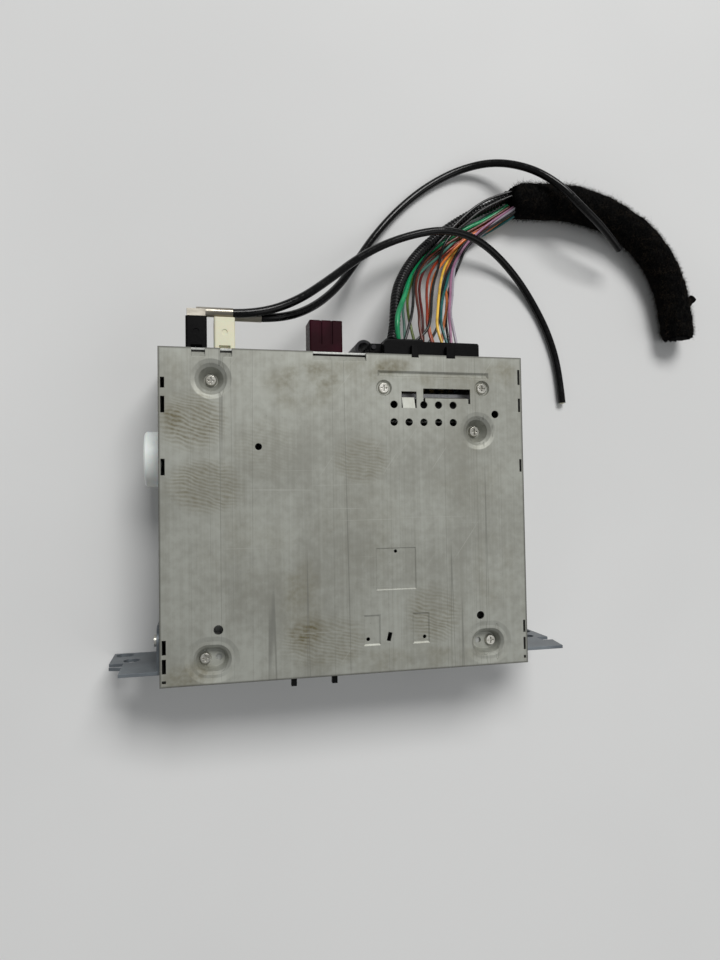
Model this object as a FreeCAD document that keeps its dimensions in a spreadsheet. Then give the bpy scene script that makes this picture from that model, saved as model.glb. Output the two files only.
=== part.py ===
import FreeCAD
import Part
import Sketcher
import math
import os

# Car radio main unit: a one-DIN steel case with a disc drive hung from its lid, its rear
# connectors plugged in, and the cut-off vehicle harness still attached.
# Origin: centre of the case's bottom face. +X right, +Y to the connectors, +Z up. Millimetres.

doc = FreeCAD.newDocument("CarRadio")
Vec = FreeCAD.Vector

# ---------------------------------------------------------------- driving dimensions
SIZES = (
    ("case_width", 178.0, "case over its side walls"),
    ("case_depth", 153.7, "case from front plate to rear panel"),
    ("case_height", 50.0, "bottom face to lid top"),
    ("sheet_thick", 1.0, "steel sheet of the case"),
    ("recess_depth", 6.0, "screw recesses pressed into the lid"),
    ("recess_top", 5.9, "radius of a round recess at the lid"),
    ("recess_floor", 3.2, "radius of a round recess at its floor"),
    ("boss_depth", 1.2, "small screw recesses pressed into the lid"),
    ("boss_radius", 3.9, "small screw recess at the lid"),
    ("mark_depth", 0.4, "shallow marks pressed into the lid"),
    ("vent_radius", 1.85, "round vent holes in the lid"),
    ("vent_pitch", 7.6, "vent hole spacing"),
    ("screw_radius", 1.5, "machine screw shank"),
    ("screw_head", 2.8, "machine screw head radius"),
    ("screw_head_thick", 1.6, "machine screw head height"),
    ("flange_thick", 1.5, "mounting bracket sheet"),
    ("flange_front", 71.7, "front face of the mounting flanges, ahead of the centre"),
    ("flange_reach", 24.5, "flange beyond the side wall"),
    ("slot_height", 7.5, "open screw slot in each flange"),
    ("slot_level", 28.0, "height of the open screw slots"),
    ("eye_radius", 3.8, "upper round hole in each flange"),
    ("eye_level", 19.0, "height of the upper round holes"),
    ("eye_reach", 14.7, "upper round holes beyond the side wall"),
    ("foot_hole_radius", 4.2, "lower round hole in each flange"),
    ("foot_hole_level", 5.7, "height of the lower round holes"),
    ("foot_hole_reach", 19.0, "lower round holes beyond the side wall"),
    ("boss_disc_radius", 13.3, "nylon guide boss on the left wall"),
    ("boss_disc_thick", 7.3, "nylon guide boss, out of the wall"),
    ("boss_disc_back", 27.0, "nylon guide boss, behind the centre"),
    ("disc_slot_width", 126.0, "disc slot in the front plate"),
    ("disc_slot_low", 29.0, "disc slot's lower edge"),
    ("disc_slot_high", 35.6, "disc slot's upper edge"),
    ("board_level", 6.0, "underside of the main board"),
    ("board_thick", 1.6, "main board"),
    ("board_width", 160.0, "main board"),
    ("board_front", 60.0, "main board's front edge, ahead of the centre"),
    ("board_back", 62.0, "main board's rear edge, behind the centre"),
    ("post_radius", 2.6, "board posts"),
    ("plug_left", 18.0, "main header's left side"),
    ("plug_width", 49.5, "main header and plug"),
    ("plug_low", 10.0, "main header's lower side"),
    ("plug_tall", 37.0, "main header and plug"),
    ("header_wall", 1.9, "main header's shroud"),
    ("plug_out", 7.2, "main plug behind the rear panel"),
    ("plug_gap", 0.1, "main plug to the header's walls"),
    ("pin_wide", 2.8, "main header's blades"),
    ("pin_thick", 0.8, "main header's blades"),
    ("pin_pitch", 5.4, "main header's blades, side to side"),
    ("lever_pivot_radius", 1.2, "pin of the plug's latch lever"),
    ("pivot_gap", 0.06, "running clearance of small pivots and shafts"),
    ("aerial_level", 41.0, "axis of the aerial sockets"),
    ("aerial_width", 9.7, "aerial plug housing"),
    ("aerial_tall", 13.6, "aerial plug housing"),
    ("aerial_long", 14.8, "aerial plug housing, out of the panel"),
    ("aerial_left", -71.9, "centre of the black aerial plug"),
    ("aerial_pitch", 12.9, "black aerial plug to white aerial plug"),
    ("aerial_nose", 2.6, "coaxial nose of each aerial socket"),
    ("coax_diameter", 4.2, "aerial leads"),
    ("ferrule_radius", 2.3, "crimped ferrules of the aerial leads"),
    ("data_left", -19.0, "data socket's left side"),
    ("data_width", 16.0, "data socket"),
    ("data_low", 34.4, "data socket's lower side"),
    ("data_tall", 13.4, "data socket"),
    ("data_long", 15.6, "data socket, out of the panel"),
    ("data_wall", 1.8, "data socket's walls"),
    ("drive_width", 152.0, "disc drive's frame"),
    ("drive_front", 69.0, "disc drive's frame, ahead of the centre"),
    ("drive_back", 45.0, "disc drive's frame, behind the centre"),
    ("drive_low", 19.0, "disc drive's frame, lower edge"),
    ("deck_level", 27.0, "underside of the floating deck"),
    ("deck_thick", 1.0, "floating deck's sheet"),
    ("deck_width", 146.0, "floating deck"),
    ("deck_front", 64.0, "floating deck, ahead of the centre"),
    ("deck_back", 41.0, "floating deck, behind the centre"),
    ("spindle_back", -6.0, "disc centre, from the case's centre"),
    ("spindle_radius", 1.0, "spindle shaft"),
    ("motor_radius", 12.0, "spindle motor"),
    ("table_radius", 15.0, "turntable"),
    ("table_level", 29.4, "turntable's underside"),
    ("table_thick", 1.6, "turntable"),
    ("hub_radius", 7.3, "turntable's centring hub"),
    ("hub_tall", 2.4, "turntable's centring hub"),
    ("puck_radius", 12.0, "clamp puck"),
    ("puck_level", 31.2, "clamp puck's underside, lowered"),
    ("puck_thick", 1.4, "clamp puck"),
    ("arm_level", 35.5, "clamp arm's underside, lowered"),
    ("arm_thick", 1.0, "clamp arm"),
    ("arm_pivot_back", 38.0, "clamp arm's pivot, behind the centre"),
    ("arm_pivot_level", 36.0, "clamp arm's pivot"),
    ("roller_front", 55.0, "loading roller, ahead of the centre"),
    ("roller_level", 30.0, "loading roller's axis"),
    ("roller_radius", 2.9, "loading roller at its middle"),
    ("roller_end", 3.3, "loading roller at its ends"),
    ("roller_half", 58.0, "loading roller's half length"),
    ("shaft_radius", 1.5, "loading roller's shaft"),
    ("gear_module", 0.5, "loading gears"),
    ("gear_face", 2.5, "loading gears, width"),
    ("gear_left", 67.0, "loading gears' left face"),
    ("load_motor_radius", 4.5, "loading motor"),
    ("rod_radius", 1.5, "pickup guide rods"),
    ("rod_spread", 13.0, "guide rods, from the disc's centre line"),
    ("rod_level", 24.0, "guide rods' axes"),
    ("pickup_start", 24.0, "lens, from the disc's centre, at the inner track"),
    ("pickup_travel", 34.0, "pickup travel"),
    ("screw_line", 24.0, "lead screw, ahead of the centre"),
    ("lead_radius", 1.4, "lead screw over its thread"),
    ("fine_module", 0.4, "pickup gears"),
    ("sled_motor_radius", 4.4, "pickup motor"),
    ("wire_diameter", 1.5, "harness wires"),
    ("thick_wire_diameter", 2.6, "heavy green wire"),
    ("conduit_diameter", 5.8, "corrugated conduit"),
    ("sleeve_diameter", 20.0, "fleece-taped part of the harness"),
)

sheet = doc.addObject("Spreadsheet::Sheet", "sizes")
for row, (alias, value, meaning) in enumerate(SIZES, start=1):
    sheet.set("A%d" % row, meaning)
    sheet.set("B%d" % row, str(value))
    sheet.setAlias("B%d" % row, alias)
doc.recompute()


class Length:
    """A length from the sheet, or worked out from such lengths: its value and its expression."""

    def __init__(self, value, text):
        self.value = value
        self.text = text

    def __add__(self, other):
        other = length(other)
        return Length(self.value + other.value, "(%s + %s)" % (self.text, other.text))

    def __sub__(self, other):
        other = length(other)
        return Length(self.value - other.value, "(%s - %s)" % (self.text, other.text))

    def __mul__(self, other):
        other = length(other)
        return Length(self.value * other.value, "%s * %s" % (self.text, other.text))

    def __truediv__(self, other):
        other = length(other)
        return Length(self.value / other.value, "%s / %s" % (self.text, other.text))

    def __neg__(self):
        return Length(-self.value, "(0 - %s)" % self.text)

    def __radd__(self, other):
        return length(other) + self

    def __rsub__(self, other):
        return length(other) - self

    def __rmul__(self, other):
        return length(other) * self


def length(number):
    return number if isinstance(number, Length) else Length(float(number), repr(float(number)))


class Sheet:
    """Reads the sheet's aliases as lengths, so that dim.case_width follows its cell."""

    def __getattr__(self, alias):
        return Length(float(getattr(sheet, alias)), "sizes." + alias)


dim = Sheet()
sub_parts = []


# ---------------------------------------------------------------- building helpers
def bind(item, prop, number):
    item.setExpression(prop, length(number).text)


TURNS = {
    "x": FreeCAD.Rotation(Vec(0, 1, 0), 90),
    "y": FreeCAD.Rotation(Vec(1, 0, 0), -90),
    "z": FreeCAD.Rotation(),
}


def place(item, at, turn=TURNS["z"]):
    item.Placement = FreeCAD.Placement(Vec(), turn)
    for letter, number in zip("xyz", at):
        bind(item, "Placement.Base." + letter, number)
    return item


def block(name, x, y, z):
    """A box between two limits on each axis."""
    solid = doc.addObject("Part::Box", name)
    for prop, (low, high) in zip(("Length", "Width", "Height"), (x, y, z)):
        bind(solid, prop, length(high) - low)
    return place(solid, (x[0], y[0], z[0]))


def on_axis(axis, centre, start):
    """The point that starts a span along an axis, centre being its other two coordinates."""
    first, second = centre
    return {"x": (start, first, second), "y": (first, start, second), "z": (first, second, start)}[axis]


def rod(name, radius, centre, span, axis="z"):
    solid = doc.addObject("Part::Cylinder", name)
    bind(solid, "Radius", radius)
    bind(solid, "Height", length(span[1]) - span[0])
    return place(solid, on_axis(axis, centre, span[0]), TURNS[axis])


def taper(name, radius_low, radius_high, centre, span, axis="z"):
    solid = doc.addObject("Part::Cone", name)
    bind(solid, "Radius1", radius_low)
    bind(solid, "Radius2", radius_high)
    bind(solid, "Height", length(span[1]) - span[0])
    return place(solid, on_axis(axis, centre, span[0]), TURNS[axis])


def mirrored(side, near, far):
    """The span between two distances from the middle, on the right for side 1 or the left for -1."""
    return (near, far) if side > 0 else (-far, -near)


def fuse(name, *pieces):
    solid = doc.addObject("Part::MultiFuse", name)
    solid.Shapes = list(pieces)
    solid.Refine = True
    return solid


def cut(name, base, *tools):
    solid = doc.addObject("Part::Cut", name)
    solid.Base = base
    solid.Tool = tools[0] if len(tools) == 1 else fuse(name + "_tools", *tools)
    solid.Refine = True
    return solid


def group(name, *pieces):
    """Identical pieces that stay separate solids of one sub-part."""
    together = doc.addObject("Part::Compound", name)
    together.Links = list(pieces)
    return together


def rounded(name, base, radius, along, where=None):
    """Fillets the base's straight edges that run along an axis, or those of them that pass a test."""
    doc.recompute()
    solid = doc.addObject("Part::Fillet", name)
    solid.Base = base
    chosen = []
    for number, edge in enumerate(base.Shape.Edges, start=1):
        if edge.Curve.TypeId != "Part::GeomLine" or abs(edge.Curve.Direction.dot(along)) < 0.999:
            continue
        if where is None or where(edge.CenterOfMass):
            chosen.append((number, radius, radius))
    solid.Edges = chosen
    return solid


def role_plane(body, role):
    return next(item for item in body.Origin.OriginFeatures if item.Role == role)


def sketched(body, role, corners, closed=True):
    """A sketch on one of the body's own origin planes, each corner held by the sheet's lengths."""
    sketch = body.newObject("Sketcher::SketchObject", body.Name + "_outline")
    sketch.AttachmentSupport = [(role_plane(body, role), "")]
    sketch.MapMode = "FlatFace"
    spots = [Vec(length(across).value, length(up).value, 0) for across, up in corners]
    for number, start in enumerate(spots):
        end = spots[(number + 1) % len(spots)]
        sketch.addGeometry(Part.LineSegment(start, end))
    for number, (across, up) in enumerate(corners):
        following = (number + 1) % len(corners)
        sketch.addConstraint(Sketcher.Constraint("Coincident", number, 2, following, 1))
        for kind, distance in (("DistanceX", length(across)), ("DistanceY", length(up))):
            held = sketch.addConstraint(Sketcher.Constraint(kind, -1, 1, number, 1, distance.value))
            sketch.setExpression("Constraints[%d]" % held, distance.text)
    return sketch


def pad(name, role, corners, thick):
    """A plate of the sketched outline, from its origin plane along the plane's normal."""
    body = doc.addObject("PartDesign::Body", name)
    feature = body.newObject("PartDesign::Pad", name + "_pad")
    feature.Profile = sketched(body, role, corners)
    bind(feature, "Length", thick)
    body.Tip = feature
    return body


def revolved(name, corners):
    """A turned piece: the sketched half section, radius by height, about the body's own Z axis."""
    body = doc.addObject("PartDesign::Body", name)
    sketch = sketched(body, "XZ_Plane", corners)
    feature = body.newObject("PartDesign::Revolution", name + "_turn")
    feature.Profile = sketch
    feature.ReferenceAxis = (sketch, ["V_Axis"])
    feature.Angle = 360.0
    body.Tip = feature
    return body


def keep(name, item):
    """Makes an object one of the radio's sub-parts, under the name of its file."""
    item.Label = name
    sub_parts.append((name, item))
    return item


def from_shape(name, shape, at=Vec()):
    item = doc.addObject("Part::Feature", name)
    item.Shape = shape
    item.Placement = FreeCAD.Placement(at, FreeCAD.Rotation())
    return keep(name, item)


# ---------------------------------------------------------------- shared places
half_width = dim.case_width / 2
half_depth = dim.case_depth / 2
thick = dim.sheet_thick
lid_under = dim.case_height - thick
inner_half = half_width - thick
rear_face = half_depth
panel_inner = half_depth - thick
recess_under = dim.case_height - dim.recess_depth - thick
board_top = dim.board_level + dim.board_thick
drive_half = dim.drive_width / 2
deck_top = dim.deck_level + dim.deck_thick

# Screw recesses of the lid that carry the disc drive: two round, two oval with an outer screw.
ROUND_RECESSES = ((-65.4, 62.5), (64.7, 39.5))
OVAL_RECESSES = ((-65.8, -65.7, -68.9), (68.0, -65.5, 71.1))
SMALL_BOSSES = ((16.7, 60.0), (67.5, 60.7))
DRIVE_SCREWS = ROUND_RECESSES + tuple((screw_x, y) for _, y, screw_x in OVAL_RECESSES)
FRONT_TABS = (-28.6, -9.3)
BRACKET_SCREW_LEVELS = (12, 38)
bracket_screw_line = -dim.flange_front + 14.0
lever_pivot = (dim.plug_left - 4.0, rear_face + 5.0)
AERIAL_STARTS = ((-55.0, 45.6), (-41.3, 40.0))


# ---------------------------------------------------------------- case
def chassis_tray():
    floor = block("tray_floor", (-half_width, half_width), (-half_depth, half_depth), (0, thick))
    left = block("tray_left", (-half_width, -inner_half), (-half_depth, half_depth), (0, lid_under))
    right = block("tray_right", (inner_half, half_width), (-half_depth, half_depth), (0, lid_under))
    openings = []
    for number in range(8):
        middle = -38.0 + 10.0 * number
        slot = block("wall_slot_%d" % number, (-half_width - 1, half_width + 1), (middle, middle + 3.0),
                     (lid_under - 9.0, lid_under - 4.0))
        openings.append(slot)
    keep("chassis_tray", cut("tray", fuse("tray_folded", floor, left, right), *openings))


def sloped_pit(name, x, y, span, slope_x, slope_y):
    """A rectangular frustum between two heights: x and y at its top, drawn in by the slopes below."""
    wedge = doc.addObject("Part::Wedge", name)
    wide, deep = length(x[1]) - x[0], length(y[1]) - y[0]
    limits = (("Xmin", slope_x), ("Xmax", wide - slope_x), ("Zmin", slope_y), ("Zmax", deep - slope_y),
              ("X2min", 0), ("X2max", wide), ("Z2min", 0), ("Z2max", deep),
              ("Ymin", 0), ("Ymax", length(span[1]) - span[0]))
    for prop, number in limits:
        bind(wedge, prop, number)
    return place(wedge, (x[0], y[1], span[0]), FreeCAD.Rotation(Vec(1, 0, 0), 90))


def stadium(name, spot, half_gap, radius_low, radius_high, span):
    """Two cones and the trough between them: a pit with straight sides and round ends."""
    x, y = spot
    wall = radius_high - radius_low
    ends = [taper("%s_end_%d" % (name, side + 1), radius_low, radius_high, (x + side * half_gap, y), span)
            for side in (-1, 1)]
    reach = length(radius_high)
    trough = sloped_pit(name + "_trough", (x - half_gap, x + half_gap), (y - reach, y + reach), span, 0,
                        wall)
    return fuse(name, trough, *ends)


def bent_tab(name, x, y, angle):
    """A strip of the lid's sheet bent down about its upper edge at y[0]."""
    strip = doc.addObject("Part::Box", name)
    bind(strip, "Length", length(x[1]) - x[0])
    bind(strip, "Width", length(y[1]) - y[0])
    bind(strip, "Height", thick)
    turn = FreeCAD.Rotation(Vec(1, 0, 0), -angle)
    back = thick * math.sin(math.radians(angle))
    drop = thick * math.cos(math.radians(angle))
    return place(strip, (x[0], y[0] - back, dim.case_height - drop), turn)


def top_cover():
    top = dim.case_height
    pressed = [block("lid_plate", (-half_width, half_width), (-half_depth, half_depth), (lid_under, top))]
    hollows = []
    for number, spot in enumerate(ROUND_RECESSES):
        tag = "recess_%d_" % number
        rolled, brim = dim.recess_top + 1.5, dim.recess_top + 3.5
        pressed.append(taper(tag + "skin_brim", dim.recess_top + 0.9, brim, spot, (top - 2.6, top)))
        pressed.append(taper(tag + "skin", dim.recess_floor + thick, dim.recess_top + 0.9, spot,
                             (recess_under, top - 2.6)))
        for step, (low, high, levels) in enumerate((
                (rolled, brim, (top - 0.4, top)),
                (dim.recess_top - 0.2, rolled, (top - 1.5, top - 0.4)),
                (dim.recess_floor, dim.recess_top - 0.2, (recess_under + thick, top - 1.5)))):
            hollows.append(taper("%shollow_%d" % (tag, step), low, high, spot, levels))
    for number, (x, y, screw_x) in enumerate(OVAL_RECESSES):
        tag = "oval_%d_" % number
        spot = (x, y)
        pressed.append(stadium(tag + "skin_brim", spot, 1.9, 6.3, 8.2, (top - 2.8, top)))
        pressed.append(stadium(tag + "skin", spot, 1.9, 5.0, 6.3, (recess_under, top - 2.8)))
        for step, (low, high, levels) in enumerate((
                (8.2, 10.4, (top - 0.4, top)),
                (5.4, 6.7, (top - 1.6, top - 0.4)),
                (4.0, 5.4, (recess_under + thick, top - 1.6)))):
            hollows.append(stadium("%shollow_%d" % (tag, step), spot, 1.9, low, high, levels))
        inner_x = 2 * x - screw_x
        hollows.append(rod(tag + "hole", 1.5, (inner_x, y), (recess_under - 1, top)))
    for number, spot in enumerate(SMALL_BOSSES):
        tag = "boss_%d_" % number
        floor = top - dim.boss_depth
        pressed.append(taper(tag + "skin", dim.boss_radius, dim.boss_radius + thick, spot,
                             (floor - thick, top)))
        hollows.append(taper(tag + "hollow", dim.boss_radius - 0.6, dim.boss_radius, spot, (floor, top)))
        hollows.append(rod(tag + "hole", dim.screw_radius, spot, (floor - 3, top)))
    for number, spot in enumerate(DRIVE_SCREWS):
        hollows.append(rod("screw_hole_%d" % number, dim.screw_radius, spot, (recess_under - 1, top)))
    for number in (0, 2, 3, 4):
        spot = (21.6 + dim.vent_pitch * number, 52.0)
        hollows.append(rod("vent_back_%d" % number, dim.vent_radius, spot, (lid_under - 1, top + 1)))
    for number in range(5):
        spot = (21.5 + dim.vent_pitch * number, 43.4)
        hollows.append(rod("vent_front_%d" % number, dim.vent_radius, spot, (lid_under - 1, top + 1)))
    for number, (x, y, radius) in enumerate(((74.2, 47.8, 1.9), (-63.1, -52.4, 2.15), (64.2, -52.1, 1.95),
                                             (-44.1, 31.2, 1.6), (6.9, -60.7, 0.9), (35.1, -61.0, 0.9),
                                             (21.1, -19.2, 0.8))):
        hollows.append(rod("lid_hole_%d" % number, radius, (x, y), (lid_under - 1, top + 1)))
    marks = (((13.6, 71.1), (65.4, 68.5), 0.7, 1.1), ((11.3, 31.3), (-37.7, -17.5), 0.25, 0.4),
             ((4.6, 13.1), (-63.8, -49.2), 0.4, 0.8), ((29.0, 37.7), (-64.0, -49.2), 0.4, 0.8))
    for number, (x, y, deep, slope) in enumerate(marks):
        hollows.append(sloped_pit("pressed_mark_%d" % number, x, y, (top - deep, top), slope, slope))
    left_slots = ((57.9, 62.8), (46.6, 54.1), (18.1, 25.6), (-62.4, -55.9), (-70.8, -64.3), (-75.1, -73.8))
    right_slots = ((63.0, 70.6), (49.2, 56.0), (18.9, 25.2), (-61.7, -55.7), (-70.3, -64.2),
                   (-74.6, -73.2))
    for side, slots in ((-1, left_slots), (1, right_slots)):
        for number, span in enumerate(slots):
            x = mirrored(side, inner_half - (1.8 if side < 0 else 1.1), inner_half)
            hollows.append(block("edge_slot_%d_%d" % (side + 1, number), x, span,
                                 (lid_under - 1, top + 1)))
    slant = doc.addObject("Part::Box", "slanted_slot")
    for prop, number in (("Length", 2.0), ("Width", 4.2), ("Height", 3.0)):
        bind(slant, prop, number)
    hollows.append(place(slant, (15.9, -61.8, lid_under - 1), FreeCAD.Rotation(Vec(0, 0, 1), -14)))
    # Lanced window and wide slot over the amplifier, each with its strip bent down.
    hollows.append(block("lanced_window", (25.5, 33.1), (50.4, 58.5), (lid_under - 1, top + 1)))
    hollows.append(block("wide_slot", (36.6, 61.1), (55.2, 60.1), (lid_under - 1, top + 1)))
    for number, x in enumerate(((36.6, 37.6), (60.1, 61.1))):
        hollows.append(block("slot_leg_%d" % number, x, (52.8, 55.3), (lid_under - 1, top + 1)))
    # The rear edge is open over the connectors' feet, with bright strips bent down beside them.
    edge_notches = ((-74.2, -68.0), (-61.2, -55.8), (-18.0, 8.0), (31.0, 34.6), (49.0, 53.6))
    for number, x in enumerate(edge_notches):
        depth = 4.2 if number < 3 else 1.5
        hollows.append(block("edge_notch_%d" % number, x, (rear_face - depth, rear_face + 1),
                             (lid_under - 1, top + 1)))
    lid = cut("lid_pressed", fuse("lid_skin", *pressed), *hollows)
    strips = [bent_tab("lanced_tab", (26.1, 32.5), (50.3, 56.2), 18),
              bent_tab("slot_lip", (37.8, 59.9), (55.2, 58.0), 72)]
    for number, x in enumerate(edge_notches[:3]):
        strips.append(bent_tab("edge_ramp_%d" % number, x, (rear_face - 4.3, rear_face - 1.4), 32))
    keep("top_cover", fuse("lid", lid, *strips))


def front_plate():
    plate = block("front_sheet", (-inner_half, inner_half), (-half_depth, -panel_inner),
                  (thick, lid_under))
    half_slot = dim.disc_slot_width / 2
    slot = block("front_disc_slot", (-half_slot, half_slot), (-half_depth - 1, -panel_inner + 1),
                 (dim.disc_slot_low, dim.disc_slot_high))
    window = block("front_window", (38, 66), (-half_depth - 1, -panel_inner + 1), (9.5, 18.5))
    openings = [slot, window]
    for number, x in enumerate(FRONT_TABS):
        openings.append(block("front_notch_%d" % number, (x - 1.35, x + 1.35),
                              (-half_depth - 1, -panel_inner + 1), (lid_under - 3.1, lid_under)))
    keep("front_plate", cut("front_plate_cut", plate, *openings))


def slot_frame():
    """Black plastic guide behind the disc slot, with two tabs that reach out under the lid."""
    half_slot = dim.disc_slot_width / 2
    back = -panel_inner + 5.0
    body = block("slot_frame_body", (-half_slot - 5, half_slot + 5), (-panel_inner, back),
                 (dim.disc_slot_low - 4, dim.disc_slot_high + 4))
    mouth = block("slot_frame_mouth", (-half_slot, half_slot), (-half_depth - 2, back + 1),
                  (dim.disc_slot_low, dim.disc_slot_high))
    pieces = [cut("slot_frame_open", body, mouth)]
    for number, x in enumerate(FRONT_TABS):
        pieces.append(block("tab_stem_%d" % number, (x - 1.2, x + 1.2), (-panel_inner, -panel_inner + 3),
                            (dim.disc_slot_high + 3.5, lid_under - 0.2)))
        pieces.append(block("tab_nose_%d" % number, (x - 1.2, x + 1.2),
                            (-half_depth - 3.6, -panel_inner + 1),
                            (lid_under - 2.9, lid_under - 0.2)))
    keep("slot_frame", fuse("slot_frame_whole", *pieces))
    felt = 0.8
    half_felt = half_slot - 0.5
    span = (-panel_inner + 0.4, back - 0.4)
    lower = block("felt_lower", (-half_felt, half_felt), span,
                  (dim.disc_slot_low, dim.disc_slot_low + felt))
    upper = block("felt_upper", (-half_felt, half_felt), span,
                  (dim.disc_slot_high - felt, dim.disc_slot_high))
    keep("slot_felts", group("felts", lower, upper))


def panel_connector():
    body = block("panel_connector_body", (38.4, 65.6), (-half_depth + 0.2, -panel_inner + 9.0),
                 (9.9, 18.1))
    mouth = block("panel_connector_mouth", (40.4, 63.6), (-half_depth - 1, -panel_inner + 6.0),
                  (11.4, 16.6))
    keep("panel_connector", cut("panel_connector_open", body, mouth))


def rear_panel():
    plate = block("rear_sheet", (-inner_half, inner_half), (panel_inner, half_depth), (thick, lid_under))
    cut_span = (panel_inner - 1, half_depth + 1)
    header = block("rear_header_hole", (dim.plug_left - 0.2, dim.plug_left + dim.plug_width + 0.2),
                   cut_span,
                   (dim.plug_low - 0.2, dim.plug_low + dim.plug_tall + 0.2))
    data = block("rear_data_hole", (dim.data_left + 1.8, dim.data_left + dim.data_width - 1.8), cut_span,
                 (dim.data_low + 0.8, dim.data_low + dim.data_tall - 1.0))
    openings = [header, data]
    for number in range(2):
        spot = (dim.aerial_left + dim.aerial_pitch * number, dim.aerial_level)
        openings.append(rod("rear_aerial_hole_%d" % number, dim.aerial_nose + 1.2, spot, cut_span, "y"))
    for row in range(3):
        for number in range(4):
            spot = (-50.0 + 6.5 * number + 3.2 * (row % 2), 14.0 + 5.6 * row)
            openings.append(rod("rear_vent_%d_%d" % (row, number), dim.vent_radius, spot, cut_span, "y"))
    keep("rear_panel", cut("rear_panel_cut", plate, *openings))


def flange_bracket(name, side, outline):
    """A folded bracket: its base lies on the side wall, its flange stands out across the case."""
    flange = pad(name + "_flange", "XZ_Plane", outline, dim.flange_thick)
    place(flange, (0, -dim.flange_front + dim.flange_thick, 0), FreeCAD.Rotation())
    inner, outer = half_width, half_width + dim.flange_thick
    x = mirrored(side, inner, outer)
    base = block(name + "_base", x, (-dim.flange_front, -dim.flange_front + 21.0), (3.0, 46.0))
    base_middle = (-dim.flange_front + 10.5).value
    base = rounded(name + "_base_round", base, 8.0, Vec(1, 0, 0), lambda spot: spot.y > base_middle)
    across = (-dim.flange_front - 1, -dim.flange_front + dim.flange_thick + 1)
    slot_x = mirrored(side, half_width + 18.0, half_width + dim.flange_reach + 3)
    half_slot = dim.slot_height / 2
    holes = [block(name + "_slot", slot_x, across,
                   (dim.slot_level - half_slot, dim.slot_level + half_slot)),
             rod(name + "_eye", dim.eye_radius, (side * (half_width + dim.eye_reach), dim.eye_level),
                 across, "y"),
             rod(name + "_foot", dim.foot_hole_radius,
                 (side * (half_width + dim.foot_hole_reach), dim.foot_hole_level), across, "y")]
    for level in BRACKET_SCREW_LEVELS:
        holes.append(rod(name + "_hole_%d" % level, dim.screw_radius, (bracket_screw_line, level),
                         (x[0] - 1, x[1] + 1), "x"))
    keep(name, cut(name + "_cut", fuse(name + "_folded", flange, base), *holes))


def flange_brackets():
    wall = half_width
    edge = half_width + dim.flange_reach
    left = ((-wall, 0.5), (-wall, 47.0), (-wall - 18.0, 47.0), (-wall - 18.0, 33.5), (-edge, 31.5),
            (-edge, 0.5))
    right = ((wall, 0.5), (edge, 0.5), (edge, 25.0), (wall + 21.0, 47.0), (wall, 47.0))
    flange_bracket("left_flange_bracket", -1, left)
    flange_bracket("right_flange_bracket", 1, right)
    screws = []
    for side in (-1, 1):
        for level in BRACKET_SCREW_LEVELS:
            spot = (bracket_screw_line, level)
            outer = half_width + dim.flange_thick
            head = mirrored(side, outer, outer + 1.4)
            shank = mirrored(side, half_width, outer)
            tag = "bracket_screw_%d_%d" % (side + 1, level)
            screws.append(fuse(tag, rod(tag + "_head", dim.screw_head, spot, head, "x"),
                               rod(tag + "_shank", dim.screw_radius, spot, shank, "x")))
    keep("bracket_screws", group("bracket_screw_set", *screws))


def side_guide_boss():
    radius = dim.boss_disc_radius
    deep = dim.boss_disc_thick
    lip = 0.8
    disc = revolved("guide_boss_disc", (
        (0, 0), (radius, 0), (radius, deep - lip), (radius - lip, deep), (4.4, deep), (4.4, deep - 3.0),
        (0, deep - 3.0)))
    turn = FreeCAD.Rotation(Vec(0, 1, 0), -90)
    keep("side_guide_boss", place(disc, (-half_width, dim.boss_disc_back, dim.case_height / 2), turn))


def case_screws():
    """Cross-head screws: four down into the disc drive's frame, two into the heat sink's ears."""
    screws = []
    seats = [(spot, recess_under + thick, thick + 1.2) for spot in DRIVE_SCREWS]
    seats += [(spot, dim.case_height - dim.boss_depth, thick + 1.5) for spot in SMALL_BOSSES]
    for number, (spot, seat, reach) in enumerate(seats):
        tag = "case_screw_%d" % number
        head_top = seat + (dim.screw_head_thick if number < 4 else 1.1)
        head = taper(tag + "_head", dim.screw_head, dim.screw_head - 0.5, spot, (seat, head_top))
        shank = rod(tag + "_shank", dim.screw_radius, spot, (seat - reach, seat))
        cross = [block(tag + "_cross_a", (spot[0] - 1.5, spot[0] + 1.5), (spot[1] - 0.28, spot[1] + 0.28),
                       (head_top - 0.7, head_top + 1)),
                 block(tag + "_cross_b", (spot[0] - 0.28, spot[0] + 0.28), (spot[1] - 1.5, spot[1] + 1.5),
                       (head_top - 0.7, head_top + 1))]
        screws.append(cut(tag, fuse(tag + "_blank", head, shank), *cross))
    keep("case_screws", group("case_screw_set", *screws))


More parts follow.
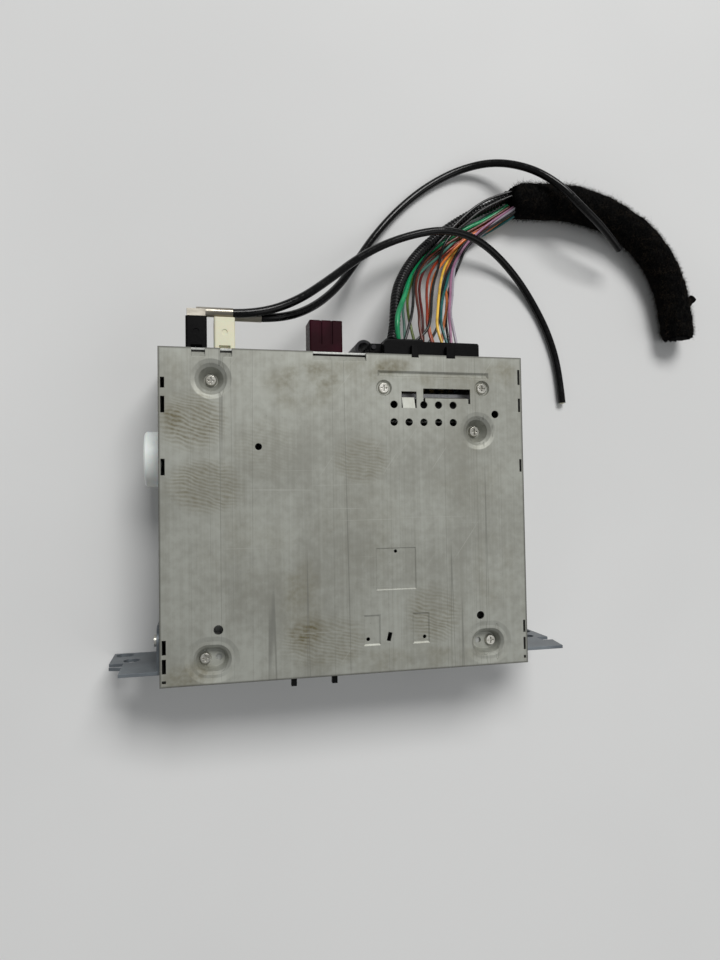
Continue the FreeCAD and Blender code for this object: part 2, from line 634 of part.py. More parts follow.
# ---------------------------------------------------------------- electronics
def main_board():
    half = dim.board_width / 2
    board = block("board_sheet", (-half, half), (-dim.board_front, dim.board_back),
                  (dim.board_level, board_top))
    corners = [(x, y) for x in (-half + 5, half - 5) for y in (-dim.board_front + 5, dim.board_back - 5)]
    holes = [rod("board_hole_%d" % number, dim.screw_radius, spot, (dim.board_level - 1, board_top + 1))
             for number, spot in enumerate(corners)]
    keep("main_board", cut("board_drilled", board, *holes))
    posts = []
    for number, spot in enumerate(corners):
        tag = "board_post_%d" % number
        posts.append(fuse(tag, rod(tag + "_leg", dim.post_radius, spot, (thick, dim.board_level)),
                          rod(tag + "_neck", dim.screw_radius, spot, (dim.board_level, board_top)),
                          rod(tag + "_head", dim.post_radius, spot, (board_top, board_top + 1.6))))
    keep("board_posts", group("board_post_set", *posts))
    chip = block("chip_body", (-12, 16), (-22, 6), (board_top, board_top + 2.4))
    keep("processor_chip", rounded("chip_round", chip, 0.8, Vec(0, 0, 1)))
    cans = [rod("can_%d" % number, 4.0, (-58.0 + 11.0 * number, -48.0), (board_top, board_top + 9.5))
            for number in range(5)]
    keep("filter_capacitors", group("can_set", *cans))


def heat_sink():
    """Aluminium plate behind the amplifier, hung by two ears from the lid's small recesses."""
    ear_top = dim.case_height - dim.boss_depth - thick
    front, back = 56.0, 58.6
    plate = block("sink_plate", (12.7, 71.5), (front, back), (board_top, 43.0))
    ears = [plate]
    for number, (x, y) in enumerate(SMALL_BOSSES):
        outer = (x - 4.0, x + 4.0)
        ears.append(block("sink_riser_%d" % number, outer, (front, back), (42.0, ear_top)))
        ears.append(block("sink_ear_%d" % number, outer, (front, y + 3.6), (ear_top - 1.5, ear_top)))
    holes = [rod("sink_hole_%d" % number, dim.screw_radius, spot, (ear_top - 3, ear_top + 1))
             for number, spot in enumerate(SMALL_BOSSES)]
    keep("heat_sink", cut("sink_drilled", fuse("sink_folded", *ears), *holes))
    body = block("amplifier_body", (27, 58), (front - 4.6, front), (15.0, 38.0))
    legs = [body]
    for number in range(14):
        x = 29.0 + 2.0 * number
        legs.append(block("amplifier_leg_%d" % number, (x, x + 0.8), (front - 2.6, front - 2.0),
                          (board_top, 15.5)))
    keep("power_amplifier", fuse("amplifier", *legs))


def tuner_can():
    x = (-71.0, -33.0)
    can = block("tuner_outer", x, (47.0, 66.5), (board_top, 32.0))
    seams = [block("tuner_seam_%d" % number, (x[0] + 6 + 10 * number, x[0] + 10 + 10 * number),
                   (46.0, 46.6 + 0.8),
                   (20.0, 26.0)) for number in range(4)]
    keep("tuner_can", cut("tuner_closed", can, *seams))


def main_header():
    left, right = dim.plug_left, dim.plug_left + dim.plug_width
    low, high = dim.plug_low, dim.plug_low + dim.plug_tall
    wall = dim.header_wall
    floor_y = rear_face - 9.0
    shroud = block("header_outer", (left, right), (floor_y - 2.2, rear_face + 0.6), (low, high))
    cavity = block("header_cavity", (left + wall, right - wall), (floor_y, rear_face + 2),
                   (low + wall, high - wall))
    foot = block("header_foot", (left + 6, right - 6), (floor_y - 2.2, floor_y + 1.5),
                 (board_top, low + 1))
    blades = []
    sockets = []
    middle = left + dim.plug_width / 2
    for row, level in enumerate((low + 11.5, low + 25.5)):
        for number in range(8):
            x = middle + (number - 3.5) * dim.pin_pitch
            half_wide, half_thick = dim.pin_wide / 2, dim.pin_thick / 2
            tag = "%d_%d" % (row, number)
            blades.append(block("blade_" + tag, (x - half_wide, x + half_wide),
                                (floor_y - 5.0, floor_y + 6.0),
                                (level - half_thick, level + half_thick)))
            sockets.append(block("blade_way_" + tag, (x - half_wide - 0.1, x + half_wide + 0.1),
                                 (floor_y - 6.0, floor_y + 7.0),
                                 (level - half_thick - 0.1, level + half_thick + 0.1)))
    ways = fuse("blade_ways", *sockets)
    keep("main_header", cut("header_open", fuse("header_shroud", shroud, foot), cavity, ways))
    data_pins = []
    for number in range(6):
        x = dim.data_left + 4.0 + 1.6 * number
        level = dim.data_low + dim.data_tall / 2 + (1.6 if number % 2 else -1.6)
        data_pins.append(rod("data_pin_%d" % number, 0.4, (x, level), (rear_face + 1.4, rear_face + 9.0),
                             "y"))
    keep("contact_pins", group("contact_set", *(blades + data_pins)))

    gap = dim.plug_gap
    inner = block("plug_inner", (left + wall + gap, right - wall - gap), (floor_y + 0.3, rear_face + 1.5),
                  (low + wall + gap, high - wall - gap))
    outer = block("plug_outer", (left, right), (rear_face + 0.8, rear_face + dim.plug_out),
                  (low, high))
    plug_middle = (rear_face + dim.plug_out / 2).value
    outer = rounded("plug_outer_round", outer, 1.2, Vec(0, 0, 1), lambda spot: spot.y > plug_middle)
    ribs = []
    for side, x in (("left", (31.2, 34.4)), ("right", (49.2, 53.4))):
        ribs.append(block("plug_rib_" + side, x, (rear_face + 0.8, rear_face + 4.5),
                          (high, dim.case_height - 0.8)))
        ribs.append(block("plug_hook_" + side, x, (rear_face - 1.3, rear_face + 4.5),
                          (dim.case_height - 0.9, dim.case_height)))
    lug_low = block("plug_lug_low", (left - 6.0, left + 1),
                    (rear_face + 2.6, rear_face + dim.plug_out - 0.4),
                    (low + 2.0, low + 4.0))
    lug_high = block("plug_lug_high", (left - 6.0, left + 1),
                     (rear_face + 2.6, rear_face + dim.plug_out - 0.4),
                     (high - 8.0, high - 6.0))
    pivot = rod("plug_lug_bore", dim.lever_pivot_radius + dim.pivot_gap, lever_pivot, (low, high))
    body = fuse("plug_moulding", inner, outer, lug_low, lug_high, *ribs)
    keep("main_plug", cut("plug_open", body, ways, pivot))
    cover = block("cover_block", (left + 1.5, left + 20.5),
                  (rear_face + dim.plug_out, rear_face + dim.plug_out + 1.4),
                  (low + 4, high - 1.0))
    cover_middle = (rear_face + dim.plug_out + 0.7).value
    keep("plug_wire_cover", rounded("cover_round", cover, 0.8, Vec(1, 0, 0),
                                    lambda spot: spot.y > cover_middle))

    # Latch lever: a pin through the plug's two lugs, a web between them and an arched hook.
    x, y = lever_pivot
    pin = rod("lever_pin", dim.lever_pivot_radius, lever_pivot, (low + 1.2, high - 5.2))
    hub = rod("lever_hub", dim.lever_pivot_radius + 1.0, lever_pivot, (low + 4.3, high - 8.3))
    arch = rod("lever_arch_outer", 4.4, (x - 4.3, y - 0.4), (low + 4.3, high - 8.3))
    hollow = rod("lever_arch_inner", 3.0, (x - 4.3, y - 0.4), (low + 3, high - 7))
    keep("plug_latch_lever", fuse("lever", pin, hub, cut("lever_arch", arch, hollow)))


def aerial_fittings():
    level = dim.aerial_level
    first, second = dim.aerial_left, dim.aerial_left + dim.aerial_pitch
    body = block("aerial_block_body", (first - 5.0, second + 5.0), (68.6, panel_inner),
                 (level - 7, level + 5.2))
    noses = [body]
    for number, x in enumerate((first, second)):
        nose = rod("aerial_nose_%d" % number, dim.aerial_nose, (x, level),
                   (panel_inner - 1, rear_face + 10), "y")
        noses.append(nose)
    keep("aerial_socket_block", fuse("aerial_sockets", *noses))
    half = dim.aerial_width / 2
    back = rear_face + 0.3 + dim.aerial_long
    elbows = []
    for number, (name, x) in enumerate((("black_aerial_plug", first), ("white_aerial_plug", second))):
        low, high = level - dim.aerial_tall / 2, level + dim.aerial_tall / 2
        housing = block(name + "_body", (x - half, x + half), (rear_face + 0.3, back), (low, high))
        housing = rounded(name + "_round", housing, 1.0, Vec(0, 1, 0))
        bore = rod(name + "_bore", dim.aerial_nose + 0.1, (x, level), (rear_face - 1, rear_face + 10.4),
                   "y")
        notch = block(name + "_notch", (x - 2.6, x + 2.6), (rear_face, rear_face + 1.7),
                      (high - 1.4, high + 1))
        dot = rod(name + "_dot", 1.3, (x, rear_face + 8.0), (high - 0.3, high + 1))
        keep(name, cut(name + "_open", housing, bore, notch, dot))
        tube_end, tube_level = AERIAL_STARTS[number]
        shell_top = 48.2 if number == 0 else 42.8
        shell = block(name + "_shell", (x - half + 0.6, x + half - 0.6), (back, back + 3.4),
                      (36.6, shell_top))
        ferrule = rod(name + "_ferrule", dim.ferrule_radius, (back + 2.5, tube_level), (x, tube_end), "x")
        elbows.append(fuse(name + "_elbow", shell, ferrule))
    keep("aerial_elbows", group("aerial_elbow_set", *elbows))


def data_socket():
    left, right = dim.data_left, dim.data_left + dim.data_width
    low, high = dim.data_low, dim.data_low + dim.data_tall
    wall = dim.data_wall
    back = rear_face + dim.data_long
    body = block("data_body", (left, right), (rear_face + 0.3, back), (low, high))
    body = rounded("data_round", body, 0.8, Vec(0, 1, 0))
    base = block("data_base", (left + 2, right - 2), (panel_inner - 4, rear_face + 0.5),
                 (low + 1, high - 1.2))
    mouth = block("data_mouth", (left + wall, right - wall), (rear_face + 3.5, back + 1),
                  (low + wall, high - wall))
    grooves = [block("data_groove_%d" % number, (x, x + 1.2), (rear_face + 4, back + 1),
                     (high - 0.7, high + 1))
               for number, x in enumerate((left + 4.8, right - 6.0))]
    whole = cut("data_moulding", fuse("data_whole", body, base), mouth, *grooves)
    ways = []
    for number in range(6):
        x = left + 4.0 + 1.6 * number
        level = low + dim.data_tall / 2 + (1.6 if number % 2 else -1.6)
        ways.append(rod("data_way_%d" % number, 0.4, (x, level), (rear_face + 1.4, rear_face + 4), "y"))
    keep("data_socket", cut("data_open", whole, *ways))


# ---------------------------------------------------------------- disc drive
def drive_frame():
    low, top = dim.drive_low, recess_under
    y = (-dim.drive_front, dim.drive_back)
    rail = 1.0
    pieces = []
    for side in (-1, 1):
        wall = mirrored(side, drive_half - rail, drive_half)
        pieces.append(block("rail_%d" % (side + 1), wall, y, (low, top)))
        flange = (drive_half - 17, drive_half) if side > 0 else (-drive_half, -drive_half + 15)
        pieces.append(block("rail_top_%d" % (side + 1), flange, y, (top - rail, top)))
        foot = mirrored(side, drive_half - 9.0, drive_half)
        pieces.append(block("rail_foot_%d" % (side + 1), foot, y, (low, low + rail)))
    across = (-drive_half, drive_half)
    pieces.append(block("frame_rear", across, (dim.drive_back - rail, dim.drive_back), (low, top)))
    pieces.append(block("frame_front", across, (-dim.drive_front, -dim.drive_front + rail), (low, 26.0)))
    pieces.append(block("frame_ear", (-71.0, -60.0), (dim.drive_back - 1, 67.5), (top - rail, top)))
    holes = [rod("frame_hole_%d" % number, dim.screw_radius, spot, (top - 3, top + 1))
             for number, spot in enumerate(DRIVE_SCREWS)]
    keep("drive_frame", cut("frame_drilled", fuse("frame_folded", *pieces), *holes))


SPRING_SPOTS = ((-71.0, -40.0), (-71.0, 34.0), (71.0, 0.6), (71.0, 34.0))
DAMPER_SPOTS = ((-71.0, -52.0), (-71.0, 20.0), (71.0, -8.0), (71.0, 20.0))


def deck_mounts():
    low = dim.drive_low + 1.0
    springs = []
    dampers = []
    for number, spot in enumerate(SPRING_SPOTS):
        tag = "deck_spring_%d" % number
        springs.append(cut(tag, rod(tag + "_outer", 2.1, spot, (low, dim.deck_level)),
                           rod(tag + "_inner", 1.5, spot, (low - 1, dim.deck_level + 1))))
    for number, spot in enumerate(DAMPER_SPOTS):
        tag = "deck_damper_%d" % number
        dampers.append(cut(tag, rod(tag + "_cup", 3.8, spot, (low, low + 5.4)),
                           rod(tag + "_well", 2.3, spot, (low + 1.0, low + 7))))
    keep("deck_springs", group("deck_spring_set", *springs))
    keep("deck_dampers", group("deck_damper_set", *dampers))


def flex_cable():
    """Flat ribbon from the main board up the drive frame's rear wall, with its board connector."""
    x = (-30.0, -16.0)
    y = dim.drive_back
    connector = block("flex_connector", (-32.0, -14.0), (50.0, 54.0), (board_top, board_top + 3.0))
    rise = block("flex_rise", x, (y, y + 0.3), (14.0, 38.0))
    run = block("flex_run", x, (y, 52.0), (14.0, 14.3))
    drop = block("flex_drop", x, (51.7, 52.0), (board_top + 2.0, 14.3))
    keep("flex_cable", fuse("flex", connector, rise, run, drop))


LOAD_TEETH = (24, 30, 14)
FINE_TEETH = (20, 12)
mesh_slack = 0.06
roller_spot = (-dim.roller_front.value, dim.roller_level.value)
idler_spot = (roller_spot[0] + dim.gear_module.value * (LOAD_TEETH[0] + LOAD_TEETH[1]) / 2 + mesh_slack,
              roller_spot[1])
load_reach = dim.gear_module.value * (LOAD_TEETH[1] + LOAD_TEETH[2]) / 2 + mesh_slack
load_drop = 4.0
load_spot = (idler_spot[0] + math.sqrt(load_reach ** 2 - load_drop ** 2), idler_spot[1] - load_drop)
screw_spot = (-dim.screw_line.value, dim.rod_level.value)
sled_motor_spot = (screw_spot[0] - dim.fine_module.value * sum(FINE_TEETH) / 2 - mesh_slack, screw_spot[1])
SCREW_GEAR_SPAN = (4.6, 7.4)
ear_side = 65.0


def drive_deck():
    half = dim.deck_width / 2
    plate = block("deck_plate", (-half, half), (-dim.deck_front, dim.deck_back),
                  (dim.deck_level, deck_top))
    centre = dim.spindle_back
    rods_low = dim.rod_level - 3.0
    ear_line = dim.gear_left - 1.0
    additions = [plate]
    additions.append(block("gear_ear", (ear_side, ear_line), (-47.0, -26.6), (21.0, 33.0)))
    for number, x in enumerate(((8.8, 10.3), (70.2, 71.6))):
        additions.append(block("rod_lug_%d_a" % number, x,
                               (centre + dim.rod_spread - 3, centre + dim.rod_spread + 3),
                               (rods_low, dim.deck_level + 0.5)))
        additions.append(block("rod_lug_%d_b" % number, x,
                               (-dim.screw_line - 2.4, centre - dim.rod_spread + 3),
                               (rods_low, dim.deck_level + 0.5)))
    additions.append(block("sled_motor_lug", (2.6, 3.8),
                           (sled_motor_spot[0] - 4.4, sled_motor_spot[0] + 4.0),
                           (rods_low, dim.deck_level + 0.5)))
    for number, x in enumerate(((-14.6, -12.6), (12.6, 14.6))):
        additions.append(block("arm_post_%d" % number, x, (dim.arm_pivot_back - 3, dim.deck_back),
                               (deck_top - 0.5, dim.arm_pivot_level + 2.6)))
    for number, spot in enumerate(DAMPER_SPOTS):
        additions.append(rod("damper_pin_%d" % number, 1.2, spot, (dim.drive_low + 3.4, deck_top)))
    additions.append(rod("idler_post", 1.5, idler_spot,
                         (ear_line - 0.5, dim.gear_left + dim.gear_face + 0.8), "x"))
    cuts = [
        rod("deck_spindle_hole", 4.0, (0, centre), (dim.deck_level - 1, deck_top + 1)),
        block("deck_lens_window", (dim.pickup_start - 5.5, dim.pickup_start + dim.pickup_travel + 7.0),
              (centre - 5, centre + 5), (dim.deck_level - 1, deck_top + 1)),
        block("deck_roller_window", (-60.0, 60.0), (-60.0, -50.0), (dim.deck_level - 1, deck_top + 1)),
        block("deck_gear_notch", (ear_line + 0.2, half + 1), (-63.0, -25.4),
              (dim.deck_level - 1, deck_top + 1)),
        block("deck_motor_window", (45.0, ear_side), (load_spot[0] - 5.2, load_spot[0] + 5.2),
              (dim.deck_level - 1, deck_top + 1)),
        block("deck_sled_motor_window", (-15.5, 2.6), (sled_motor_spot[0] - 5.0, sled_motor_spot[0] + 5.0),
              (dim.deck_level - 1, deck_top + 1)),
        block("deck_fine_gear_window", (3.8, 8.3), (sled_motor_spot[0] - 3.8, screw_spot[0] + 5.0),
              (dim.deck_level - 1, deck_top + 1)),
        rod("load_shaft_hole", 1.3, load_spot, (ear_side - 1, ear_line + 1), "x"),
        rod("sled_shaft_hole", 1.2, sled_motor_spot, (2.0, 4.4), "x"),
        rod("screw_bearing", 1.0 + dim.pivot_gap, screw_spot, (8.0, 73.0), "x"),
        rod("arm_pin_bearing", 1.0, (dim.arm_pivot_back, dim.arm_pivot_level), (-16.0, 16.0), "x"),
    ]
    for number, side in enumerate((-1, 1)):
        spot = (centre + side * dim.rod_spread, dim.rod_level)
        cuts.append(rod("rod_bearing_%d" % number, dim.rod_radius, spot, (8.0, 73.0), "x"))
    keep("drive_deck", cut("deck", fuse("deck_folded", *additions), *cuts))


def spindle():
    centre = (0, dim.spindle_back)
    low = dim.deck_level - 6.2
    can = rod("spindle_can", dim.motor_radius, centre, (low, dim.deck_level))
    collar = rod("spindle_collar", 3.0, centre, (dim.deck_level - 0.5, deck_top))
    bore = rod("spindle_bore", dim.spindle_radius + dim.pivot_gap / 2, centre, (low + 1.2, deck_top + 1))
    keep("spindle_motor", cut("spindle_motor_bored", fuse("spindle_stator", can, collar), bore))
    top = dim.table_level + dim.table_thick
    shaft = dim.spindle_radius
    hub = dim.hub_radius
    table = revolved("table_turned", (
        (0, low + 1.6 - dim.table_level), (shaft, low + 1.6 - dim.table_level), (shaft, 0),
        (dim.table_radius, 0),
        (dim.table_radius, top - dim.table_level), (hub, top - dim.table_level),
        (hub - 0.7, top - dim.table_level + dim.hub_tall), (2.2, top - dim.table_level + dim.hub_tall),
        (2.2, top - dim.table_level + 0.8), (0, top - dim.table_level + 0.8)))
    keep("turntable", place(table, (0, dim.spindle_back, dim.table_level)))


def clamp():
    centre = dim.spindle_back
    pivot = dim.arm_pivot_back
    stem = 3.0
    outline = ((-9.0, centre), (-5.6, centre - 8.0), (5.6, centre - 8.0), (9.0, centre),
               (9.0, pivot + 1.6),
               (-9.0, pivot + 1.6))
    plate = pad("arm_plate", "XY_Plane", outline, dim.arm_thick)
    place(plate, (0, 0, dim.arm_level), FreeCAD.Rotation())
    barrel = rod("arm_barrel", 2.0, (pivot, dim.arm_pivot_level), (-11.8, 11.8), "x")
    ring = rod("arm_ring_hole", stem + dim.pivot_gap, (0, centre), (dim.arm_level - 2, dim.arm_level + 3))
    bearing = rod("arm_bearing", 1.0 + dim.pivot_gap, (pivot, dim.arm_pivot_level), (-13, 13), "x")
    keep("clamp_arm", cut("arm", fuse("arm_whole", plate, barrel), ring, bearing))
    pin = rod("arm_pin", 1.0, (pivot, dim.arm_pivot_level), (-15.2, 15.2), "x")
    keep("clamp_pivot_pin", pin)
    low = dim.puck_level
    top = dim.arm_level + dim.arm_thick - low
    radius = dim.puck_radius
    recess = dim.hub_radius + 0.4
    crown = dim.hub_tall + 0.5
    puck = revolved("puck_turned", (
        (0, crown), (recess - 0.6, crown), (recess, 0), (radius, 0), (radius, dim.puck_thick),
        (recess + 1.4, dim.puck_thick + 0.2), (recess + 0.8, crown + 1.1), (stem, crown + 1.1),
        (stem, top + 0.1),
        (stem + 1.8, top + 0.1), (stem + 1.8, top + 1.0), (0, top + 1.0)))
    keep("clamp_puck", place(puck, (0, centre, low)))


def upper_disc_guide():
    plate = block("guide_plate", (-66.0, 66.0), (-dim.deck_front, -45.0), (33.6, 35.0))
    feet = [plate]
    for side in (-1, 1):
        x = mirrored(side, 61.0, 66.0)
        feet.append(block("guide_foot_%d_a" % (side + 1), x, (-dim.deck_front, -60.6), (deck_top, 34.0)))
        feet.append(block("guide_foot_%d_b" % (side + 1), x, (-49.6, -47.2), (deck_top, 34.0)))
    keep("upper_disc_guide", fuse("disc_guide", *feet))


def gear_outline(teeth, module, slack):
    """Involute teeth by formula, about the origin, with a tooth centred on the first axis."""
    pressure = math.radians(20)
    pitch = module * teeth / 2
    base = pitch * math.cos(pressure)
    tip = pitch + 0.85 * module
    root = pitch - 1.15 * module
    half_tooth = math.pi / (2 * teeth) - slack / (2 * pitch)

    def half_angle(radius):
        open_angle = math.acos(min(1.0, base / max(radius, base)))
        return half_tooth + (math.tan(pressure) - pressure) - (math.tan(open_angle) - open_angle)

    start = max(root, base)
    flank = [root] + [start + (tip - start) * step / 4 for step in range(5)]
    if root >= base:
        flank = flank[1:]
    corners = []
    for tooth in range(teeth):
        middle = 2 * math.pi * tooth / teeth
        for radius in flank:
            corners.append((radius, middle - half_angle(radius)))
        for radius in reversed(flank):
            corners.append((radius, middle + half_angle(radius)))
    return [Vec(radius * math.cos(angle), radius * math.sin(angle), 0) for radius, angle in corners]


def gear_along_x(teeth, module, spot, span, phase, slack=0.09):
    """A spur gear whose axis lies along X at spot (y, z), turned by phase about that axis."""
    outline = gear_outline(teeth, module, slack)
    face = Part.Face(Part.makePolygon(outline + outline[:1]))
    gear = face.extrude(Vec(0, 0, span[1] - span[0]))
    gear.rotate(Vec(), Vec(0, 0, 1), math.degrees(phase))
    gear.rotate(Vec(), Vec(1, 1, 1), 120)
    gear.translate(Vec(span[0], spot[0], spot[1]))
    return gear


def meshing_phase(phase, teeth, spot, next_teeth, next_spot):
    """The turn that puts the next gear's gap where the first gear has its tooth."""
    heading = math.atan2(next_spot[1] - spot[1], next_spot[0] - spot[0])
    lead = (phase - heading) * teeth / next_teeth
    return heading + math.pi + math.pi / next_teeth - lead


def loading_train():
    module = dim.gear_module.value
    left = dim.gear_left.value
    span = (left, left + dim.gear_face.value)
    roller_teeth, idler_teeth, pinion_teeth = LOAD_TEETH
    shaft_radius = dim.shaft_radius.value
    roller_phase = 0.0
    idler_phase = meshing_phase(roller_phase, roller_teeth, roller_spot, idler_teeth, idler_spot)
    pinion_phase = meshing_phase(idler_phase, idler_teeth, idler_spot, pinion_teeth, load_spot)
    shaft_spot = Vec(-68.0, roller_spot[0], roller_spot[1])
    shaft = Part.makeCylinder(shaft_radius, span[1] + 68.4, shaft_spot, Vec(1, 0, 0))
    roller_gear = gear_along_x(roller_teeth, module, roller_spot, span, roller_phase)
    from_shape("roller_shaft", shaft.fuse(roller_gear).removeSplitter())
    idler = gear_along_x(idler_teeth, module, idler_spot, span, idler_phase)
    bore = Part.makeCylinder(1.5 + dim.pivot_gap.value, 10, Vec(left - 3, *idler_spot), Vec(1, 0, 0))
    from_shape("idler_gear", idler.cut(bore))
    pinion = gear_along_x(pinion_teeth, module, load_spot, span, pinion_phase)
    stem = Part.makeCylinder(0.75, span[1] - ear_side - 0.3, Vec(ear_side + 0.3, *load_spot), Vec(1, 0, 0))
    from_shape("load_pinion", pinion.fuse(stem).removeSplitter())

    half = dim.roller_half
    middle = revolved("roller_turned", (
        (dim.shaft_radius, -half), (dim.roller_end, -half), (dim.roller_radius, 0), (dim.roller_end, half),
        (dim.shaft_radius, half)))
    place(middle, (0, -dim.roller_front, dim.roller_level), TURNS["x"])
    keep("loading_roller", middle)
    blocks = []
    for side in (-1, 1):
        x = mirrored(side, 61.4, 64.6)
        body = block("roller_block_%d" % (side + 1), x, (-59.6, -50.4), (deck_top, 33.2))
        bore_span = (x[0] - 1, x[1] + 1)
        hole = rod("roller_block_bore_%d" % (side + 1), dim.shaft_radius + dim.pivot_gap,
                   (-dim.roller_front, dim.roller_level), bore_span, "x")
        blocks.append(cut("roller_bearing_%d" % (side + 1), body, hole))
    keep("roller_bearings", group("roller_bearing_set", *blocks))


def pickup_drive():
    module = dim.fine_module.value
    screw_teeth, pinion_teeth = FINE_TEETH
    screw_phase = math.pi
    pinion_phase = meshing_phase(screw_phase, screw_teeth, screw_spot, pinion_teeth, sled_motor_spot)
    gear = gear_along_x(screw_teeth, module, screw_spot, SCREW_GEAR_SPAN, screw_phase)
    journal = Part.makeCylinder(1.0, 72.8 - SCREW_GEAR_SPAN[0], Vec(SCREW_GEAR_SPAN[0], *screw_spot),
                                Vec(1, 0, 0))
    thread = Part.makeCylinder(dim.lead_radius.value, 58.4, Vec(11.0, *screw_spot), Vec(1, 0, 0))
    from_shape("lead_screw", journal.fuse([gear, thread]).removeSplitter())
    pinion = gear_along_x(pinion_teeth, module, sled_motor_spot, SCREW_GEAR_SPAN, pinion_phase)
    stem = Part.makeCylinder(0.6, SCREW_GEAR_SPAN[1] - 2.9, Vec(2.9, *sled_motor_spot), Vec(1, 0, 0))
    from_shape("sled_pinion", pinion.fuse(stem).removeSplitter())
    load_can = rod("load_can", dim.load_motor_radius, load_spot, (46.0, ear_side), "x")
    sled_can = rod("sled_can", dim.sled_motor_radius, sled_motor_spot, (-14.6, 2.6), "x")
    keep("drive_motors", group("drive_motor_pair", load_can, sled_can))
    rods = []
    for number, side in enumerate((-1, 1)):
        spot = (dim.spindle_back + side * dim.rod_spread, dim.rod_level)
        rods.append(rod("guide_rod_%d" % number, dim.rod_radius, spot, (8.6, 71.8), "x"))
    keep("guide_rods", group("guide_rod_set", *rods))

    x = dim.pickup_start
    centre = dim.spindle_back
    level = dim.rod_level
    body = block("sled_body", (x - 8.4, x + 8.4), (centre - 11.0, centre + 11.0),
                 (level - 2.6, level + 2.4))
    tower = block("sled_tower", (x - 4.2, x + 4.2), (centre - 4.2, centre + 4.2),
                  (level + 2.0, level + 4.6))
    bush_back = block("sled_bush_back", (x - 7.0, x + 7.0), (centre + 10.5, centre + 15.4),
                      (level - 2.6, level + 2.4))
    bush_front = block("sled_bush_front", (x - 7.0, x + 7.0), (centre - 15.4, centre - 10.5),
                       (level - 2.6, level + 2.4))
    follower = block("sled_follower", (x - 2.0, x + 2.0),
                     (-dim.screw_line + dim.lead_radius + 0.3, centre - 15.0),
                     (level - 1.2, level + 1.2))
    ways = [rod("sled_way_%d" % number, dim.rod_radius + dim.pivot_gap,
                (centre + side * dim.rod_spread, level),
                (x - 20, x + 20), "x") for number, side in enumerate((-1, 1))]
    well = rod("sled_lens_well", 3.4, (x, centre), (level + 0.6, level + 6))
    keep("pickup_sled", cut("sled", fuse("sled_whole", body, tower, bush_back, bush_front, follower),
                            *ways, well))
    lens = revolved("lens_turned", ((0, 0), (3.0, 0), (3.0, 3.4), (2.3, 3.4), (1.4, 4.2), (0, 4.5)))
    keep("objective_lens", place(lens, (x, centre, level + 1.4)))


# ---------------------------------------------------------------- leads and harness
def cord_path(points):
    """Straight runs joined by tangent arcs, each as large as its two runs allow."""
    spots = [Vec(*point) for point in points]
    edges = []
    radii = []
    start = spots[0]
    for before, corner, after in zip(spots, spots[1:], spots[2:]):
        arriving = (corner - before).normalize()
        leaving = (after - corner).normalize()
        turn = arriving.getAngle(leaving)
        reach = 0.45 * min(before.distanceToPoint(corner), corner.distanceToPoint(after))
        radius = reach / math.tan(turn / 2)
        inward = (leaving - arriving).normalize()
        arc_start = corner - arriving * reach
        arc_end = corner + leaving * reach
        arc_middle = corner + inward * (radius / math.cos(turn / 2) - radius)
        edges.append(Part.LineSegment(start, arc_start).toShape())
        edges.append(Part.Arc(arc_start, arc_middle, arc_end).toShape())
        radii.append(radius)
        start = arc_end
    edges.append(Part.LineSegment(start, spots[-1]).toShape())
    return Part.Wire(edges), radii


def cord_tube(name, points, diameter):
    path, radii = cord_path(points)
    heading = Vec(*points[1]) - Vec(*points[0])
    ring = Part.Wire(Part.makeCircle(diameter / 2, Vec(*points[0]), heading))
    tube = path.makePipeShell([ring], True, False)
    expected = path.Length * math.pi * diameter ** 2 / 4
    if abs(tube.Volume - expected) > 0.01 * expected:
        raise SystemExit("%s: tube volume %.1f, expected %.1f" % (name, tube.Volume, expected))
    print("%-18s length %6.1f  radii %s" % (name, path.Length, " ".join("%.0f" % r for r in radii)))
    return tube


CORD_REAR_FACE = 76.85

# The black aerial lead passes over the white one and over the wires, then comes down to the floor.
BLACK_LEAD = ((-55.0, 94.4, 45.6), (-43.0, 94.8, 45.5), (-24.0, 103.0, 41.0), (-6.0, 117.5, 33.0),
              (11.5, 133.0, 25.0), (31.0, 145.0, 19.4), (52.0, 152.5, 17.4), (67.0, 154.0, 16.8),
              (82.0, 151.5, 13.6), (97.0, 144.5, 8.4), (111.5, 132.5, 4.0), (122.5, 117.5, 2.2),
              (130.5, 101.5, 2.4), (136.5, 81.5, 2.2), (138.0, 61.5, 2.6))
# The white aerial lead runs along the floor and then over the sleeve, near its cut end.
WHITE_LEAD = ((-41.3, 94.4, 40.0), (-31.0, 94.8, 39.4), (-15.0, 103.0, 30.0), (0.0, 117.0, 19.4),
              (12.0, 134.0, 10.6), (24.0, 152.0, 4.6), (39.0, 169.5, 2.3), (56.5, 184.5, 2.2),
              (76.0, 195.5, 3.6), (95.0, 199.0, 9.8), (112.0, 192.5, 19.6), (126.0, 181.5, 26.4),
              (141.0, 168.0, 27.0), (155.5, 159.0, 23.6), (169.0, 150.0, 17.4))
